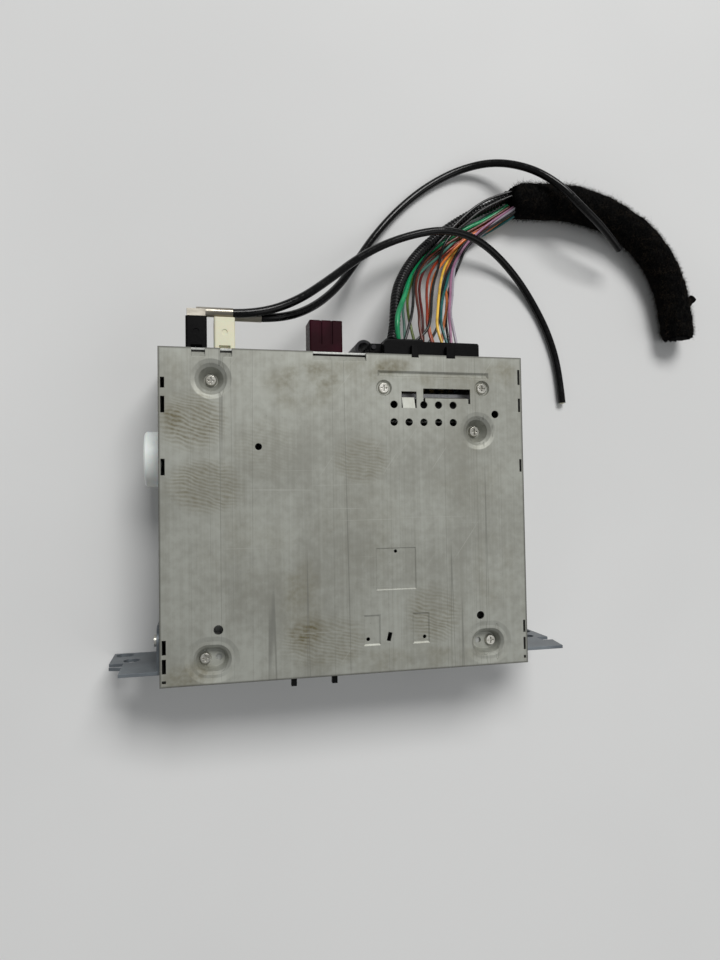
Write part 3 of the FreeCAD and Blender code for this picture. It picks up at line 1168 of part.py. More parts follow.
# The fleece-taped part of the harness, cut off behind the car's dashboard.
SLEEVE = ((106.0, 176.0, 10.1), (126.0, 178.5, 10.0), (147.0, 178.0, 10.2), (168.5, 172.5, 10.0),
          (188.0, 161.5, 10.1), (202.0, 145.0, 10.2), (210.0, 124.5, 10.0), (212.0, 100.5, 10.2))
CONDUIT = ((24, 85.4, 40), (25.2, 100.5, 38.6), (30.2, 117, 28.6), (37.6, 133, 15.8), (51.4, 152, 4.6),
           (68.9, 166.8, 3.6), (91, 179.8, 4.2), (105.2, 182, 5.2))
WIRES = {
    "wires_green": (
        ((27.5, 85.4, 34), (30.5, 100.5, 32), (34.5, 116, 24), (41.3, 130.4, 13.3), (54.8, 148.9, 1.5),
         (71.9, 162.6, 1.4), (92.7, 175.6, 2.5), (105.9, 176.9, 3)),
        ((33.5, 85.4, 30), (35.5, 100, 28), (39, 115, 21.5), (45, 129.5, 12.5), (57, 147.9, 1.6),
         (74.1, 161.6, 0.8), (93.2, 173.2, 1.7), (106.2, 174.5, 2.6)),
        ((55.5, 84, 36), (56, 97.5, 34), (57.5, 111, 25.5), (60.5, 124, 14.3), (68.4, 142.2, 1.4),
         (82.8, 156.7, 0.8), (95.1, 166.4, 6.3), (107, 168.3, 10.6)),
    ),
    "wires_black": (
        ((30.5, 85.4, 40), (33, 100, 38), (37, 115.5, 28), (43, 130, 15.5), (56, 148.5, 5.6),
         (73.2, 161.9, 5.1), (92.5, 180.2, 8.5), (105.3, 182, 10)),
        ((35.5, 85.4, 38), (37.5, 99.5, 36), (41, 114.5, 26.5), (46.5, 129, 15), (58.5, 147.5, 4),
         (74.5, 161, 3.2), (92.7, 177.9, 7.8), (105.6, 179.6, 10.2)),
        ((44.5, 84, 27), (46, 98.5, 25), (48.5, 113, 19.5), (52.9, 127.3, 11.5), (62.6, 145.5, 3.3),
         (77.9, 159.2, 2.5), (93.3, 171.9, 4.5), (106.3, 173.4, 5.8)),
        ((59, 84, 30), (59.5, 97, 28), (60.5, 110.5, 21.5), (62.5, 123.5, 12.5), (69.9, 141.4, 1.7),
         (82.7, 154.4, 2.6), (93.5, 167.2, 10.3), (106.8, 169.8, 12.4)),
    ),
    "wires_brown": (
        ((40.5, 84, 40), (42.5, 99, 38), (45, 114, 28), (50, 128, 15.5), (60.5, 146, 3.8),
         (76.4, 160.2, 3), (93.1, 173.7, 4.7), (106.1, 175.2, 5.6)),
        ((43, 84, 32), (44.5, 99, 30), (47, 113.5, 23), (50.9, 127.7, 12.9), (61.3, 145.7, 1.4),
         (77.5, 159.7, 0.8), (93.9, 169.6, 2.8), (106.5, 171.6, 4.5)),
        ((46.5, 84, 38), (48, 98.5, 36), (50, 112.5, 26.5), (53.4, 126.3, 14.8), (64.1, 144, 1.5),
         (78.6, 158.2, 1.2), (93.9, 168.7, 4.4), (106.5, 171.8, 6.3)),
    ),
    "wires_orange": (
        ((49, 84, 34), (50, 98.5, 32), (52, 112, 24), (55.6, 126.3, 14), (65, 144.3, 4),
         (79.3, 158, 3), (93.3, 170.3, 5.8), (106.4, 172.5, 7.8)),
        ((51, 84, 40), (52.5, 98, 38), (54, 112, 28), (57.3, 125.1, 15.3), (65.7, 143.3, 1.4),
         (80.7, 157.7, 0.8), (94.7, 167, 4.5), (106.8, 169.9, 8.3)),
        ((53.5, 84, 30), (54.5, 98, 28), (55.5, 111.5, 21.5), (59, 125.3, 12.5), (67.4, 143.3, 3.5),
         (81, 156.9, 2.4), (94.1, 168.9, 6.5), (106.6, 171.4, 9.6)),
    ),
    "wires_grey": (
        ((38, 85.4, 34), (40, 99.5, 32), (43, 114, 24), (48.5, 128.5, 13.5), (59.5, 146.5, 1.6),
         (75.6, 160.4, 0.8), (93.3, 171.3, 2.3), (106.4, 172.9, 3.3)),
        ((57, 84, 36), (58, 97.5, 34), (59, 110.5, 25.5), (62, 123.9, 14.7), (69.2, 141.9, 3.4),
         (82.1, 156.1, 3.9), (93.2, 170.9, 8.5), (106.4, 173, 10.3)),
        ((61, 84, 34), (61.5, 97, 32), (62, 110, 24), (64, 123, 13.5), (71.5, 140.7, 1.6),
         (84.5, 154.3, 1.6), (93.7, 169.1, 9.2), (106.5, 171.6, 12.4)),
    ),
}


def leads():
    """The routes are written from a rear face at CORD_REAR_FACE, and move back with a deeper case."""
    back = Vec(0, rear_face.value - CORD_REAR_FACE, 0)
    for name, route, diameter in (("black_aerial_lead", BLACK_LEAD, dim.coax_diameter),
                                  ("white_aerial_lead", WHITE_LEAD, dim.coax_diameter),
                                  ("fleece_sleeve", SLEEVE, dim.sleeve_diameter),
                                  ("corrugated_conduit", CONDUIT, dim.conduit_diameter)):
        from_shape(name, cord_tube(name, route, diameter.value), back)
    for name, routes in WIRES.items():
        tubes = []
        for number, route in enumerate(routes):
            heavy = name == "wires_green" and number == 0
            diameter = dim.thick_wire_diameter if heavy else dim.wire_diameter
            tubes.append(cord_tube("%s_%d" % (name, number), route, diameter.value))
        from_shape(name, Part.makeCompound(tubes), back)


# ---------------------------------------------------------------- the whole radio
def write_parts():
    doc.recompute()
    for item in doc.Objects:
        if "Invalid" in item.State or "Error" in item.State:
            raise SystemExit("%s did not recompute: %s" % (item.Name, item.State))
    os.makedirs("parts", exist_ok=True)
    for name, item in sub_parts:
        shape = item.Shape
        if shape.isNull() or not shape.isValid() or shape.Volume <= 0:
            raise SystemExit("%s has no valid solid" % name)
        shape.exportStep(os.path.join("parts", name + ".step"))
        print("%-22s %2d solids  %10.1f mm3" % (name, len(shape.Solids), shape.Volume))
    print(len(sub_parts), "sub-parts")


chassis_tray()
top_cover()
front_plate()
slot_frame()
panel_connector()
rear_panel()
flange_brackets()
side_guide_boss()
case_screws()
main_board()
heat_sink()
tuner_can()
main_header()
aerial_fittings()
data_socket()
drive_frame()
deck_mounts()
flex_cable()
drive_deck()
spindle()
clamp()
upper_disc_guide()
loading_train()
pickup_drive()
leads()
write_parts()
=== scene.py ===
import math
import random

import bmesh
import bpy
from mathutils import Matrix, Vector, noise


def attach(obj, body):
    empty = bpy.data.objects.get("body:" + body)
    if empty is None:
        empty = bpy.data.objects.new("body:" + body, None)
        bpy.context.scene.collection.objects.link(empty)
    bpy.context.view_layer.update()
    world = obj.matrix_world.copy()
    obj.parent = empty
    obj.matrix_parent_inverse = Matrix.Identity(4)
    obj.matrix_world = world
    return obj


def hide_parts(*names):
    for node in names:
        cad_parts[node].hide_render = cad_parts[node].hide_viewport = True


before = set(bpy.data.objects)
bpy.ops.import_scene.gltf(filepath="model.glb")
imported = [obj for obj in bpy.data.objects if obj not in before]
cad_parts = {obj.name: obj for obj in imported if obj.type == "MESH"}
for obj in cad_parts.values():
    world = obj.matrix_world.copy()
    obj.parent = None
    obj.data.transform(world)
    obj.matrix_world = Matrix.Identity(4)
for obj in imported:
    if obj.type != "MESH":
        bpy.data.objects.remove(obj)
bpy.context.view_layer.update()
scene = bpy.context.scene
MM = 0.001

# ---------------------------------------------------------------- camera
CAMERA_AT = (-0.069716, 0.004109, 0.373649)
CAMERA_RIGHT = Vector((0.975017, -0.0158295, 0.2215654))
CAMERA_UP = Vector((0.0079437, 0.9993044, 0.0364375))
CAMERA_BACK = Vector((-0.2219881, -0.0337671, 0.9744645))
LENS_OVER_LONG_SIDE = 693 / 960
SENSOR_WIDTH = 36
NEAREST_SEEN = 0.01

camera = bpy.data.objects.new("camera", bpy.data.cameras.new("camera"))
scene.collection.objects.link(camera)
camera.matrix_world = (Matrix.Translation(CAMERA_AT)
                       @ Matrix((CAMERA_RIGHT, CAMERA_UP, CAMERA_BACK)).transposed().to_4x4())
camera.data.sensor_width = SENSOR_WIDTH
camera.data.lens = SENSOR_WIDTH * LENS_OVER_LONG_SIDE
camera.data.clip_start = NEAREST_SEEN
scene.camera = camera

# ---------------------------------------------------------------- routes of the cords, in metres
# The two leads and the sleeve repeat their CAD routes.
BLACK_LEAD = (
    (-0.055, 0.0944, 0.0456), (-0.043, 0.0948, 0.0455), (-0.024, 0.103, 0.041),
    (-0.006, 0.1175, 0.033), (0.0115, 0.133, 0.025), (0.031, 0.145, 0.0194), (0.052, 0.1525, 0.0174),
    (0.067, 0.154, 0.0168), (0.082, 0.1515, 0.0136), (0.097, 0.1445, 0.0084), (0.1115, 0.1325, 0.004),
    (0.1225, 0.1175, 0.0022), (0.1305, 0.1015, 0.0024), (0.1365, 0.0815, 0.0022),
    (0.138, 0.0615, 0.0026))
WHITE_LEAD = (
    (-0.0413, 0.0944, 0.04), (-0.031, 0.0948, 0.0394), (-0.015, 0.103, 0.03), (0, 0.117, 0.0194),
    (0.012, 0.134, 0.0106), (0.024, 0.152, 0.0046), (0.039, 0.1695, 0.0023), (0.0565, 0.1845, 0.0022),
    (0.076, 0.1955, 0.0036), (0.095, 0.199, 0.0098), (0.112, 0.1925, 0.0196), (0.126, 0.1815, 0.0264),
    (0.141, 0.168, 0.027), (0.1555, 0.159, 0.0236), (0.169, 0.15, 0.0174))
SLEEVE = (
    (0.106, 0.176, 0.0101), (0.126, 0.1785, 0.01), (0.147, 0.178, 0.0102), (0.1685, 0.1725, 0.01),
    (0.188, 0.1615, 0.0101), (0.202, 0.145, 0.0102), (0.21, 0.1245, 0.01), (0.212, 0.1005, 0.0102))
# The conduit and the wires keep their CAD ends, but for the heavy green wire's raised start. Their
# middle points were placed and spread apart by a working script, and not chosen by hand.
CONDUIT = (
    (0.024, 0.0854, 0.04), (0.02634, 0.09217, 0.03603), (0.02769, 0.10221, 0.03364),
    (0.03043, 0.11464, 0.0273), (0.03603, 0.12568, 0.02057), (0.0431, 0.13611, 0.01435),
    (0.05174, 0.14601, 0.00853), (0.06122, 0.15458, 0.00507), (0.07091, 0.16216, 0.00381),
    (0.08336, 0.17001, 0.00367), (0.09725, 0.17632, 0.00404), (0.1052, 0.182, 0.0052))
HEAVY_WIRE = 0.0026
THIN_WIRE = 0.0015
WIRES = (
    ("heavy_green_wire", "wires_green", HEAVY_WIRE, (
        (0.0275, 0.0854, 0.0395), (0.02608, 0.09148, 0.04192), (0.0273, 0.10003, 0.03933),
        (0.03176, 0.10837, 0.03501), (0.03848, 0.12053, 0.02112), (0.04343, 0.13143, 0.01271),
        (0.05163, 0.14095, 0.00681), (0.06073, 0.14892, 0.00302), (0.06977, 0.15526, 0.00199),
        (0.08007, 0.16186, 0.00315), (0.09368, 0.16794, 0.00258), (0.1059, 0.1769, 0.003))),
    ("dark_green_wire_painted_highlight", "wires_green", THIN_WIRE, (
        (0.0335, 0.0854, 0.03), (0.03438, 0.09603, 0.0281), (0.03408, 0.10633, 0.02506),
        (0.03677, 0.1158, 0.02045), (0.04335, 0.12509, 0.01435), (0.05141, 0.13386, 0.01037),
        (0.05949, 0.14096, 0.00629), (0.06817, 0.14927, 0.0037), (0.07717, 0.15838, 0.00126),
        (0.08778, 0.1665, 0.00078), (0.09865, 0.17436, 0.00086), (0.1062, 0.1745, 0.0026))),
    ("teal_wire", "wires_green", THIN_WIRE, (
        (0.0555, 0.084, 0.036), (0.05256, 0.09369, 0.03391), (0.05353, 0.1027, 0.0304),
        (0.0572, 0.11355, 0.0231), (0.06336, 0.12557, 0.01379), (0.06857, 0.1369, 0.00563),
        (0.07458, 0.14671, 0.00139), (0.08173, 0.15353, 0.00078), (0.09038, 0.15873, 0.00176),
        (0.09877, 0.1633, 0.00449), (0.107, 0.1683, 0.0106))),
    ("black_wire_a", "wires_black", THIN_WIRE, (
        (0.0305, 0.0854, 0.04), (0.03282, 0.0919, 0.03884), (0.03612, 0.10139, 0.03604),
        (0.0388, 0.11211, 0.03001), (0.04176, 0.1236, 0.02114), (0.04818, 0.13515, 0.01307),
        (0.05637, 0.14536, 0.00832), (0.06562, 0.15489, 0.00764), (0.07512, 0.16495, 0.00751),
        (0.08559, 0.17421, 0.0076), (0.0961, 0.17951, 0.00887), (0.1053, 0.182, 0.01))),
    ("black_wire_b", "wires_black", THIN_WIRE, (
        (0.0355, 0.0854, 0.038), (0.04369, 0.09124, 0.03749), (0.04672, 0.10104, 0.03451),
        (0.04933, 0.11173, 0.02834), (0.05347, 0.12324, 0.02002), (0.05956, 0.13491, 0.01205),
        (0.06355, 0.14714, 0.00601), (0.06918, 0.15613, 0.0044), (0.07695, 0.16221, 0.00607),
        (0.08605, 0.17011, 0.00744), (0.09651, 0.1762, 0.00801), (0.1056, 0.1796, 0.0102))),
    ("black_wire_c", "wires_black", THIN_WIRE, (
        (0.0445, 0.084, 0.027), (0.053, 0.09483, 0.0252), (0.05577, 0.10487, 0.0226),
        (0.05823, 0.11577, 0.01815), (0.06276, 0.12865, 0.01221), (0.06923, 0.13938, 0.00686),
        (0.07471, 0.1487, 0.00434), (0.08117, 0.15555, 0.00257), (0.09013, 0.16135, 0.00269),
        (0.09964, 0.16624, 0.00351), (0.1063, 0.1734, 0.0058))),
    ("black_wire_d", "wires_black", THIN_WIRE, (
        (0.059, 0.084, 0.03), (0.05748, 0.09528, 0.02741), (0.05906, 0.1049, 0.02344),
        (0.0619, 0.11571, 0.0173), (0.06818, 0.12833, 0.009), (0.07478, 0.13975, 0.00357),
        (0.07829, 0.14843, 0.00312), (0.08338, 0.15444, 0.00446), (0.09035, 0.15994, 0.00674),
        (0.09833, 0.16487, 0.00919), (0.1068, 0.1698, 0.0124))),
    ("brown_wire", "wires_brown", THIN_WIRE, (
        (0.0405, 0.084, 0.04), (0.0389, 0.09308, 0.03825), (0.04008, 0.1012, 0.03557),
        (0.04053, 0.11071, 0.02979), (0.04289, 0.12149, 0.02109), (0.04761, 0.13208, 0.01291),
        (0.05417, 0.14055, 0.00749), (0.06269, 0.14786, 0.00417), (0.07352, 0.15551, 0.00379),
        (0.08871, 0.16376, 0.00413), (0.1061, 0.1752, 0.0056))),
    ("red_brown_wire", "wires_brown", THIN_WIRE, (
        (0.043, 0.084, 0.032), (0.04367, 0.09479, 0.03007), (0.04437, 0.10412, 0.02728),
        (0.04467, 0.1136, 0.02236), (0.04663, 0.12329, 0.01582), (0.05128, 0.13265, 0.00901),
        (0.05775, 0.14084, 0.00458), (0.06603, 0.14822, 0.00171), (0.07627, 0.15455, 0.00078),
        (0.0903, 0.16332, 0.00102), (0.1065, 0.1716, 0.0045))),
    ("dark_red_wire", "wires_brown", THIN_WIRE, (
        (0.0465, 0.084, 0.038), (0.04399, 0.0945, 0.03523), (0.04573, 0.10407, 0.03167),
        (0.04805, 0.11554, 0.02363), (0.05194, 0.12677, 0.01453), (0.05762, 0.13625, 0.00736),
        (0.0646, 0.14394, 0.00314), (0.0725, 0.15071, 0.00221), (0.08106, 0.15756, 0.00253),
        (0.09293, 0.16488, 0.00345), (0.1065, 0.1718, 0.0063))),
    ("orange_wire_a", "wires_orange", THIN_WIRE, (
        (0.049, 0.084, 0.034), (0.04575, 0.09393, 0.03204), (0.04822, 0.10402, 0.02845),
        (0.05106, 0.11521, 0.0216), (0.05465, 0.12579, 0.0146), (0.05975, 0.13458, 0.00945),
        (0.06661, 0.14289, 0.0056), (0.07347, 0.15022, 0.00412), (0.08141, 0.15707, 0.00407),
        (0.09388, 0.16288, 0.00448), (0.1064, 0.1725, 0.0078))),
    ("yellow_wire", "wires_orange", THIN_WIRE, (
        (0.051, 0.084, 0.04), (0.04824, 0.09314, 0.038), (0.05075, 0.10383, 0.03345),
        (0.0553, 0.11655, 0.02349), (0.06106, 0.12989, 0.01193), (0.06709, 0.14067, 0.00429),
        (0.0736, 0.14832, 0.00144), (0.08067, 0.15474, 0.00103), (0.089, 0.15987, 0.00109),
        (0.09852, 0.16362, 0.00277), (0.1068, 0.1699, 0.0083))),
    ("orange_wire_b", "wires_orange", THIN_WIRE, (
        (0.0535, 0.084, 0.03), (0.05604, 0.09878, 0.02712), (0.06, 0.1091, 0.02319),
        (0.06171, 0.11823, 0.01723), (0.06303, 0.12747, 0.01062), (0.06675, 0.13725, 0.00657),
        (0.07198, 0.14508, 0.00343), (0.07891, 0.1515, 0.00239), (0.08656, 0.15756, 0.00266),
        (0.09622, 0.1628, 0.00484), (0.1066, 0.1714, 0.0096))),
    ("olive_wire", "wires_grey", THIN_WIRE, (
        (0.038, 0.0854, 0.034), (0.03629, 0.09505, 0.0321), (0.03573, 0.10376, 0.0292),
        (0.03723, 0.11328, 0.02378), (0.04228, 0.12466, 0.01657), (0.04954, 0.1356, 0.00897),
        (0.05819, 0.14417, 0.00367), (0.06682, 0.15072, 0.00078), (0.0782, 0.15709, 0.00078),
        (0.09118, 0.16646, 0.00096), (0.1064, 0.1729, 0.0033))),
    ("violet_wire", "wires_grey", THIN_WIRE, (
        (0.057, 0.084, 0.036), (0.05751, 0.0939, 0.03387), (0.05798, 0.10295, 0.03021),
        (0.0618, 0.11388, 0.02275), (0.06555, 0.12619, 0.01364), (0.06954, 0.13708, 0.00693),
        (0.07486, 0.14593, 0.00414), (0.08077, 0.15395, 0.00478), (0.08896, 0.16137, 0.00611),
        (0.0976, 0.16759, 0.00722), (0.1064, 0.173, 0.0103))),
    ("grey_wire", "wires_grey", THIN_WIRE, (
        (0.061, 0.084, 0.034), (0.05999, 0.09614, 0.03109), (0.06, 0.10502, 0.02686),
        (0.06424, 0.11555, 0.01961), (0.06812, 0.12832, 0.01092), (0.07219, 0.13981, 0.00381),
        (0.07774, 0.14819, 0.00117), (0.08523, 0.15477, 0.00343), (0.09231, 0.16135, 0.00574),
        (0.0989, 0.16685, 0.00838), (0.1065, 0.1716, 0.0124))),
)

# Steps of each drawn curve between two of its points.
CURVE_STEPS = 14
# The lowest a swept surface may lie, just clear of the floor.
RESTING = 0.0001


def link(name, data):
    piece = bpy.data.objects.new(name, data)
    scene.collection.objects.link(piece)
    return piece


def nurbs(name, points):
    """A curve of one open spline whose control points are a route's points."""
    curve = bpy.data.curves.new(name, "CURVE")
    curve.dimensions = "3D"
    spline = curve.splines.new("NURBS")
    spline.points.add(len(points) - 1)
    for spot, point in zip(spline.points, points):
        spot.co = (*point, 1)
    spline.order_u = 3
    spline.use_endpoint_u = True
    spline.resolution_u = CURVE_STEPS
    return curve


def centreline(points):
    """The points of a route's own spline, as Blender draws it."""
    holder = bpy.data.objects.new("route", nurbs("route", points))
    mesh = bpy.data.meshes.new_from_object(holder)
    path = [vertex.co.copy() for vertex in mesh.vertices]
    bpy.data.objects.remove(holder)
    bpy.data.meshes.remove(mesh)
    return path


def evenly(path, step):
    """Points a step apart along a path, with the length run at each."""
    spots = [(path[0].copy(), 0.0)]
    run = 0.0
    for start, end in zip(path, path[1:]):
        gap = (end - start).length
        while spots[-1][1] + step <= run + gap:
            at = spots[-1][1] + step
            spots.append((start.lerp(end, (at - run) / gap), at))
        run += gap
    if run - spots[-1][1] > step / 4:
        spots.append((path[-1].copy(), run))
    return spots


def carried_frames(spots):
    """Two directions across the path at each spot, which don't twist round it."""
    frames = []
    across = None
    for index in range(len(spots)):
        before = spots[max(index - 1, 0)][0]
        after = spots[min(index + 1, len(spots) - 1)][0]
        heading = (after - before).normalized()
        if across is None:
            across = heading.cross(Vector((0, 0, 1))).normalized()
        across = (across - heading * across.dot(heading)).normalized()
        frames.append((heading, across, heading.cross(across)))
    return frames


def mesh_piece(name, vertices, faces):
    mesh = bpy.data.meshes.new(name)
    mesh.from_pydata(vertices, [], faces)
    mesh.update()
    mesh.polygons.foreach_set("use_smooth", [True] * len(mesh.polygons))
    return link(name, mesh)


def rings_to_faces(ring_count, sides):
    faces = []
    for ring in range(ring_count - 1):
        for side in range(sides):
            following = (side + 1) % sides
            faces.append((ring * sides + side, ring * sides + following,
                          (ring + 1) * sides + following, (ring + 1) * sides + side))
    faces.append(tuple(reversed(range(sides))))
    faces.append(tuple((ring_count - 1) * sides + side for side in range(sides)))
    return faces


def sweep(name, spots, sides, radius_at, shift_at=None):
    """A closed tube round evenly spaced spots: radius_at(run, angle), moved along by shift_at."""
    vertices = []
    for (spot, run), (heading, across, over) in zip(spots, carried_frames(spots)):
        for side in range(sides):
            angle = math.tau * side / sides
            outward = across * math.cos(angle) + over * math.sin(angle)
            along = shift_at(run, angle) if shift_at else 0.0
            vertex = spot + outward * radius_at(run, angle) + heading * along
            vertex.z = max(vertex.z, RESTING)
            vertices.append(vertex)
    return mesh_piece(name, vertices, rings_to_faces(len(spots), sides))


# ---------------------------------------------------------------- materials
# Radius over which a sharp edge catches the light, and the rays that look for it.
EDGE_EASE = 0.0003
EDGE_RAYS = 4


class Finish:
    """A node material, with short calls for the nodes used here. Positions are in metres."""

    def __init__(self, name, roughness=0.5, metallic=0.0, **constants):
        self.material = bpy.data.materials.new(name)
        self.material.use_nodes = True
        self.tree = self.material.node_tree
        self.shader = self.tree.nodes["Principled BSDF"]
        self.shader.inputs["Roughness"].default_value = roughness
        self.shader.inputs["Metallic"].default_value = metallic
        for socket, value in constants.items():
            self.shader.inputs[socket.replace("_", " ")].default_value = value
        self.place = self.tree.nodes.new("ShaderNodeTexCoord").outputs["Object"]

    def node(self, kind, inputs=(), **settings):
        made = self.tree.nodes.new(kind)
        for setting, value in settings.items():
            setattr(made, setting, value)
        for socket, value in dict(inputs).items():
            self.put(value, made.inputs[socket])
        return made

    def put(self, value, socket):
        if isinstance(value, bpy.types.NodeSocket):
            self.tree.links.new(value, socket)
        else:
            socket.default_value = value

    def math(self, operation, first, second=0.0, clamp=False):
        return self.node("ShaderNodeMath", {0: first, 1: second}, operation=operation,
                         use_clamp=clamp).outputs[0]

    def stretched(self, factors, place=None):
        return self.node("ShaderNodeVectorMath", {0: place or self.place, 1: factors},
                         operation="MULTIPLY").outputs[0]

    def grain(self, scale, detail=3.0, place=None, distortion=0.0):
        made = self.node("ShaderNodeTexNoise", {"Vector": place or self.place, "Scale": scale,
                                                "Detail": detail, "Distortion": distortion})
        return made.outputs["Fac"]

    def ramp(self, value, low, high, to_low=0.0, to_high=1.0):
        return self.node("ShaderNodeMapRange", {"Value": value, "From Min": low, "From Max": high,
                                                "To Min": to_low, "To Max": to_high},
                         interpolation_type="SMOOTHSTEP").outputs[0]

    def blob(self, centre, radii, soft=0.9):
        """1 inside an ellipsoid, falling to 0 at its edge."""
        offset = self.node("ShaderNodeVectorMath", {0: self.place, 1: centre},
                           operation="SUBTRACT").outputs[0]
        scaled = self.node("ShaderNodeVectorMath", {0: offset, 1: tuple(1 / r for r in radii)},
                           operation="MULTIPLY").outputs[0]
        reach = self.node("ShaderNodeVectorMath", {0: scaled}, operation="LENGTH").outputs["Value"]
        return self.ramp(reach, 1.0, 1.0 - soft)

    def mix(self, first, second, factor):
        made = self.node("ShaderNodeMix", data_type="RGBA")
        for socket, value in ((made.inputs[6], first), (made.inputs[7], second), (made.inputs[0], factor)):
            self.put((*value, 1) if isinstance(value, tuple) else value, socket)
        return made.outputs[2]

    def colour(self, value):
        self.put((*value, 1) if isinstance(value, tuple) else value, self.shader.inputs["Base Color"])
        return self

    def rough(self, value):
        self.put(value, self.shader.inputs["Roughness"])
        return self

    def bump(self, height, distance, strength=1.0):
        made = self.node("ShaderNodeBump", {"Height": height, "Distance": distance, "Strength": strength,
                                            "Normal": self.eased()})
        self.tree.links.new(made.outputs[0], self.shader.inputs["Normal"])
        return self

    def eased(self):
        """Normals that turn round sharp edges, so that each edge catches a thin line of light."""
        return self.node("ShaderNodeBevel", {"Radius": EDGE_EASE}, samples=EDGE_RAYS).outputs[0]


def sheet_metal(name, pale, dull, streak=(900, 9, 900), metallic=0.62, roughness=0.42):
    """Plated sheet: rolling streaks along one way, cloudy patches, fine specks."""
    f = Finish(name, metallic=metallic)
    streaks = f.grain(1.0, 2.0, f.stretched(streak))
    clouds = f.grain(38.0, 4.0)
    specks = f.grain(1500.0, 2.0)
    blend = f.math("ADD", f.math("MULTIPLY", streaks, 0.45), f.math("MULTIPLY", clouds, 0.55))
    tone = f.mix(dull, pale, f.ramp(blend, 0.36, 0.64))
    f.colour(f.mix(tone, tuple(c * 0.72 for c in dull), f.ramp(specks, 0.66, 0.8)))
    f.rough(f.ramp(clouds, 0.3, 0.7, roughness - 0.06, roughness + 0.09))
    f.bump(streaks, 0.00004, 0.5)
    return f


# Bodies darker than this reflect less, as dark plastic with a grained surface does.
DARK_BODY = 0.04
DARK_SHEEN = 0.12
PALE_SHEEN = 0.4


def moulded(name, body, edge=None, roughness=0.45, grain=900.0, depth=0.00003, **constants):
    """Moulded plastic with a fine spark-eroded grain, slight tone changes and dust."""
    constants.setdefault("Specular_IOR_Level", DARK_SHEEN if max(body) < DARK_BODY else PALE_SHEEN)
    f = Finish(name, **constants)
    fine = f.grain(grain, 2.0)
    broad = f.grain(60.0, 3.0)
    pale = edge or tuple(c * 1.3 + 0.002 for c in body)
    f.colour(f.mix(body, pale, f.ramp(broad, 0.42, 0.75)))
    f.rough(f.ramp(fine, 0.3, 0.7, roughness - 0.07, roughness + 0.1))
    f.bump(fine, depth, 0.6)
    return f


def insulation(name, colour, roughness=0.3):
    """Thin PVC wire covering, a little dusty, with slow changes of shade."""
    f = Finish(name, Coat_Weight=0.12, Coat_Roughness=0.2, Specular_IOR_Level=0.4)
    patches = f.grain(140.0, 3.0)
    dust = f.grain(700.0, 3.0)
    tone = f.mix(colour, tuple(c * 0.7 for c in colour), f.ramp(patches, 0.4, 0.7))
    f.colour(f.mix(tone, tuple(0.8 * c + 0.012 for c in colour), f.ramp(dust, 0.6, 0.85)))
    f.rough(f.ramp(dust, 0.3, 0.7, roughness - 0.05, roughness + 0.14))
    f.bump(patches, 0.00012, 0.35)
    return f


# Olive finger marks on the lid, in millimetres: place, reach along X and Y, strength, ridges.
SMUDGES = (
    ((-74, 43), (19, 17), 0.8, True), ((-68, 13), (22, 15), 0.85, True), ((5, 25), (17, 14), 0.75, True),
    ((-24, 60), (22, 15), 0.55, False), ((53, 62), (32, 9), 0.6, False),
    ((-23, -42), (16, 27), 0.6, False), ((-14, -60), (25, 15), 0.6, True),
    ((40, -50), (17, 18), 0.65, True), ((-76, -73), (15, 9), 0.6, False),
    ((20, -71), (62, 7), 0.45, False), ((0, 67), (34, 9), 0.35, False),
    ((60, 20), (24, 28), 0.22, False), ((-83, 55), (8, 22), 0.4, False),
    ((4, -10), (28, 34), 0.22, False), ((-50, -20), (26, 30), 0.2, False),
    ((72, -30), (14, 26), 0.28, False), ((-40, 30), (20, 18), 0.25, True),
    ((77, 68), (12, 9), 0.7, False), ((22, 71), (12, 5), 0.6, False), ((12, 62), (8, 12), 0.45, False),
)
LID_DULL = (0.262, 0.264, 0.232)
LID_PALE = (0.368, 0.378, 0.342)
SPECK_TONE = (0.16, 0.158, 0.135)
MARK_TONE = (0.135, 0.118, 0.066)
ROLLER_TONE = (0.15, 0.152, 0.135)
SCRATCH_TONE = (0.40, 0.405, 0.37)
# Painted shade along the lid's bent rim.
RIM_SHADE_TONE = (0.085, 0.085, 0.075)
# Half the lid's width and depth, where the painted shade along the rim is faint and where it is full.
RIM_SHADE_FAINT = (0.0878, 0.0757)
RIM_SHADE_FULL = (0.0889, 0.0768)
LID_HEIGHT = 0.05
RIDGE_SLOPE = 0.22
SCRATCH_SLOPE = 0.62


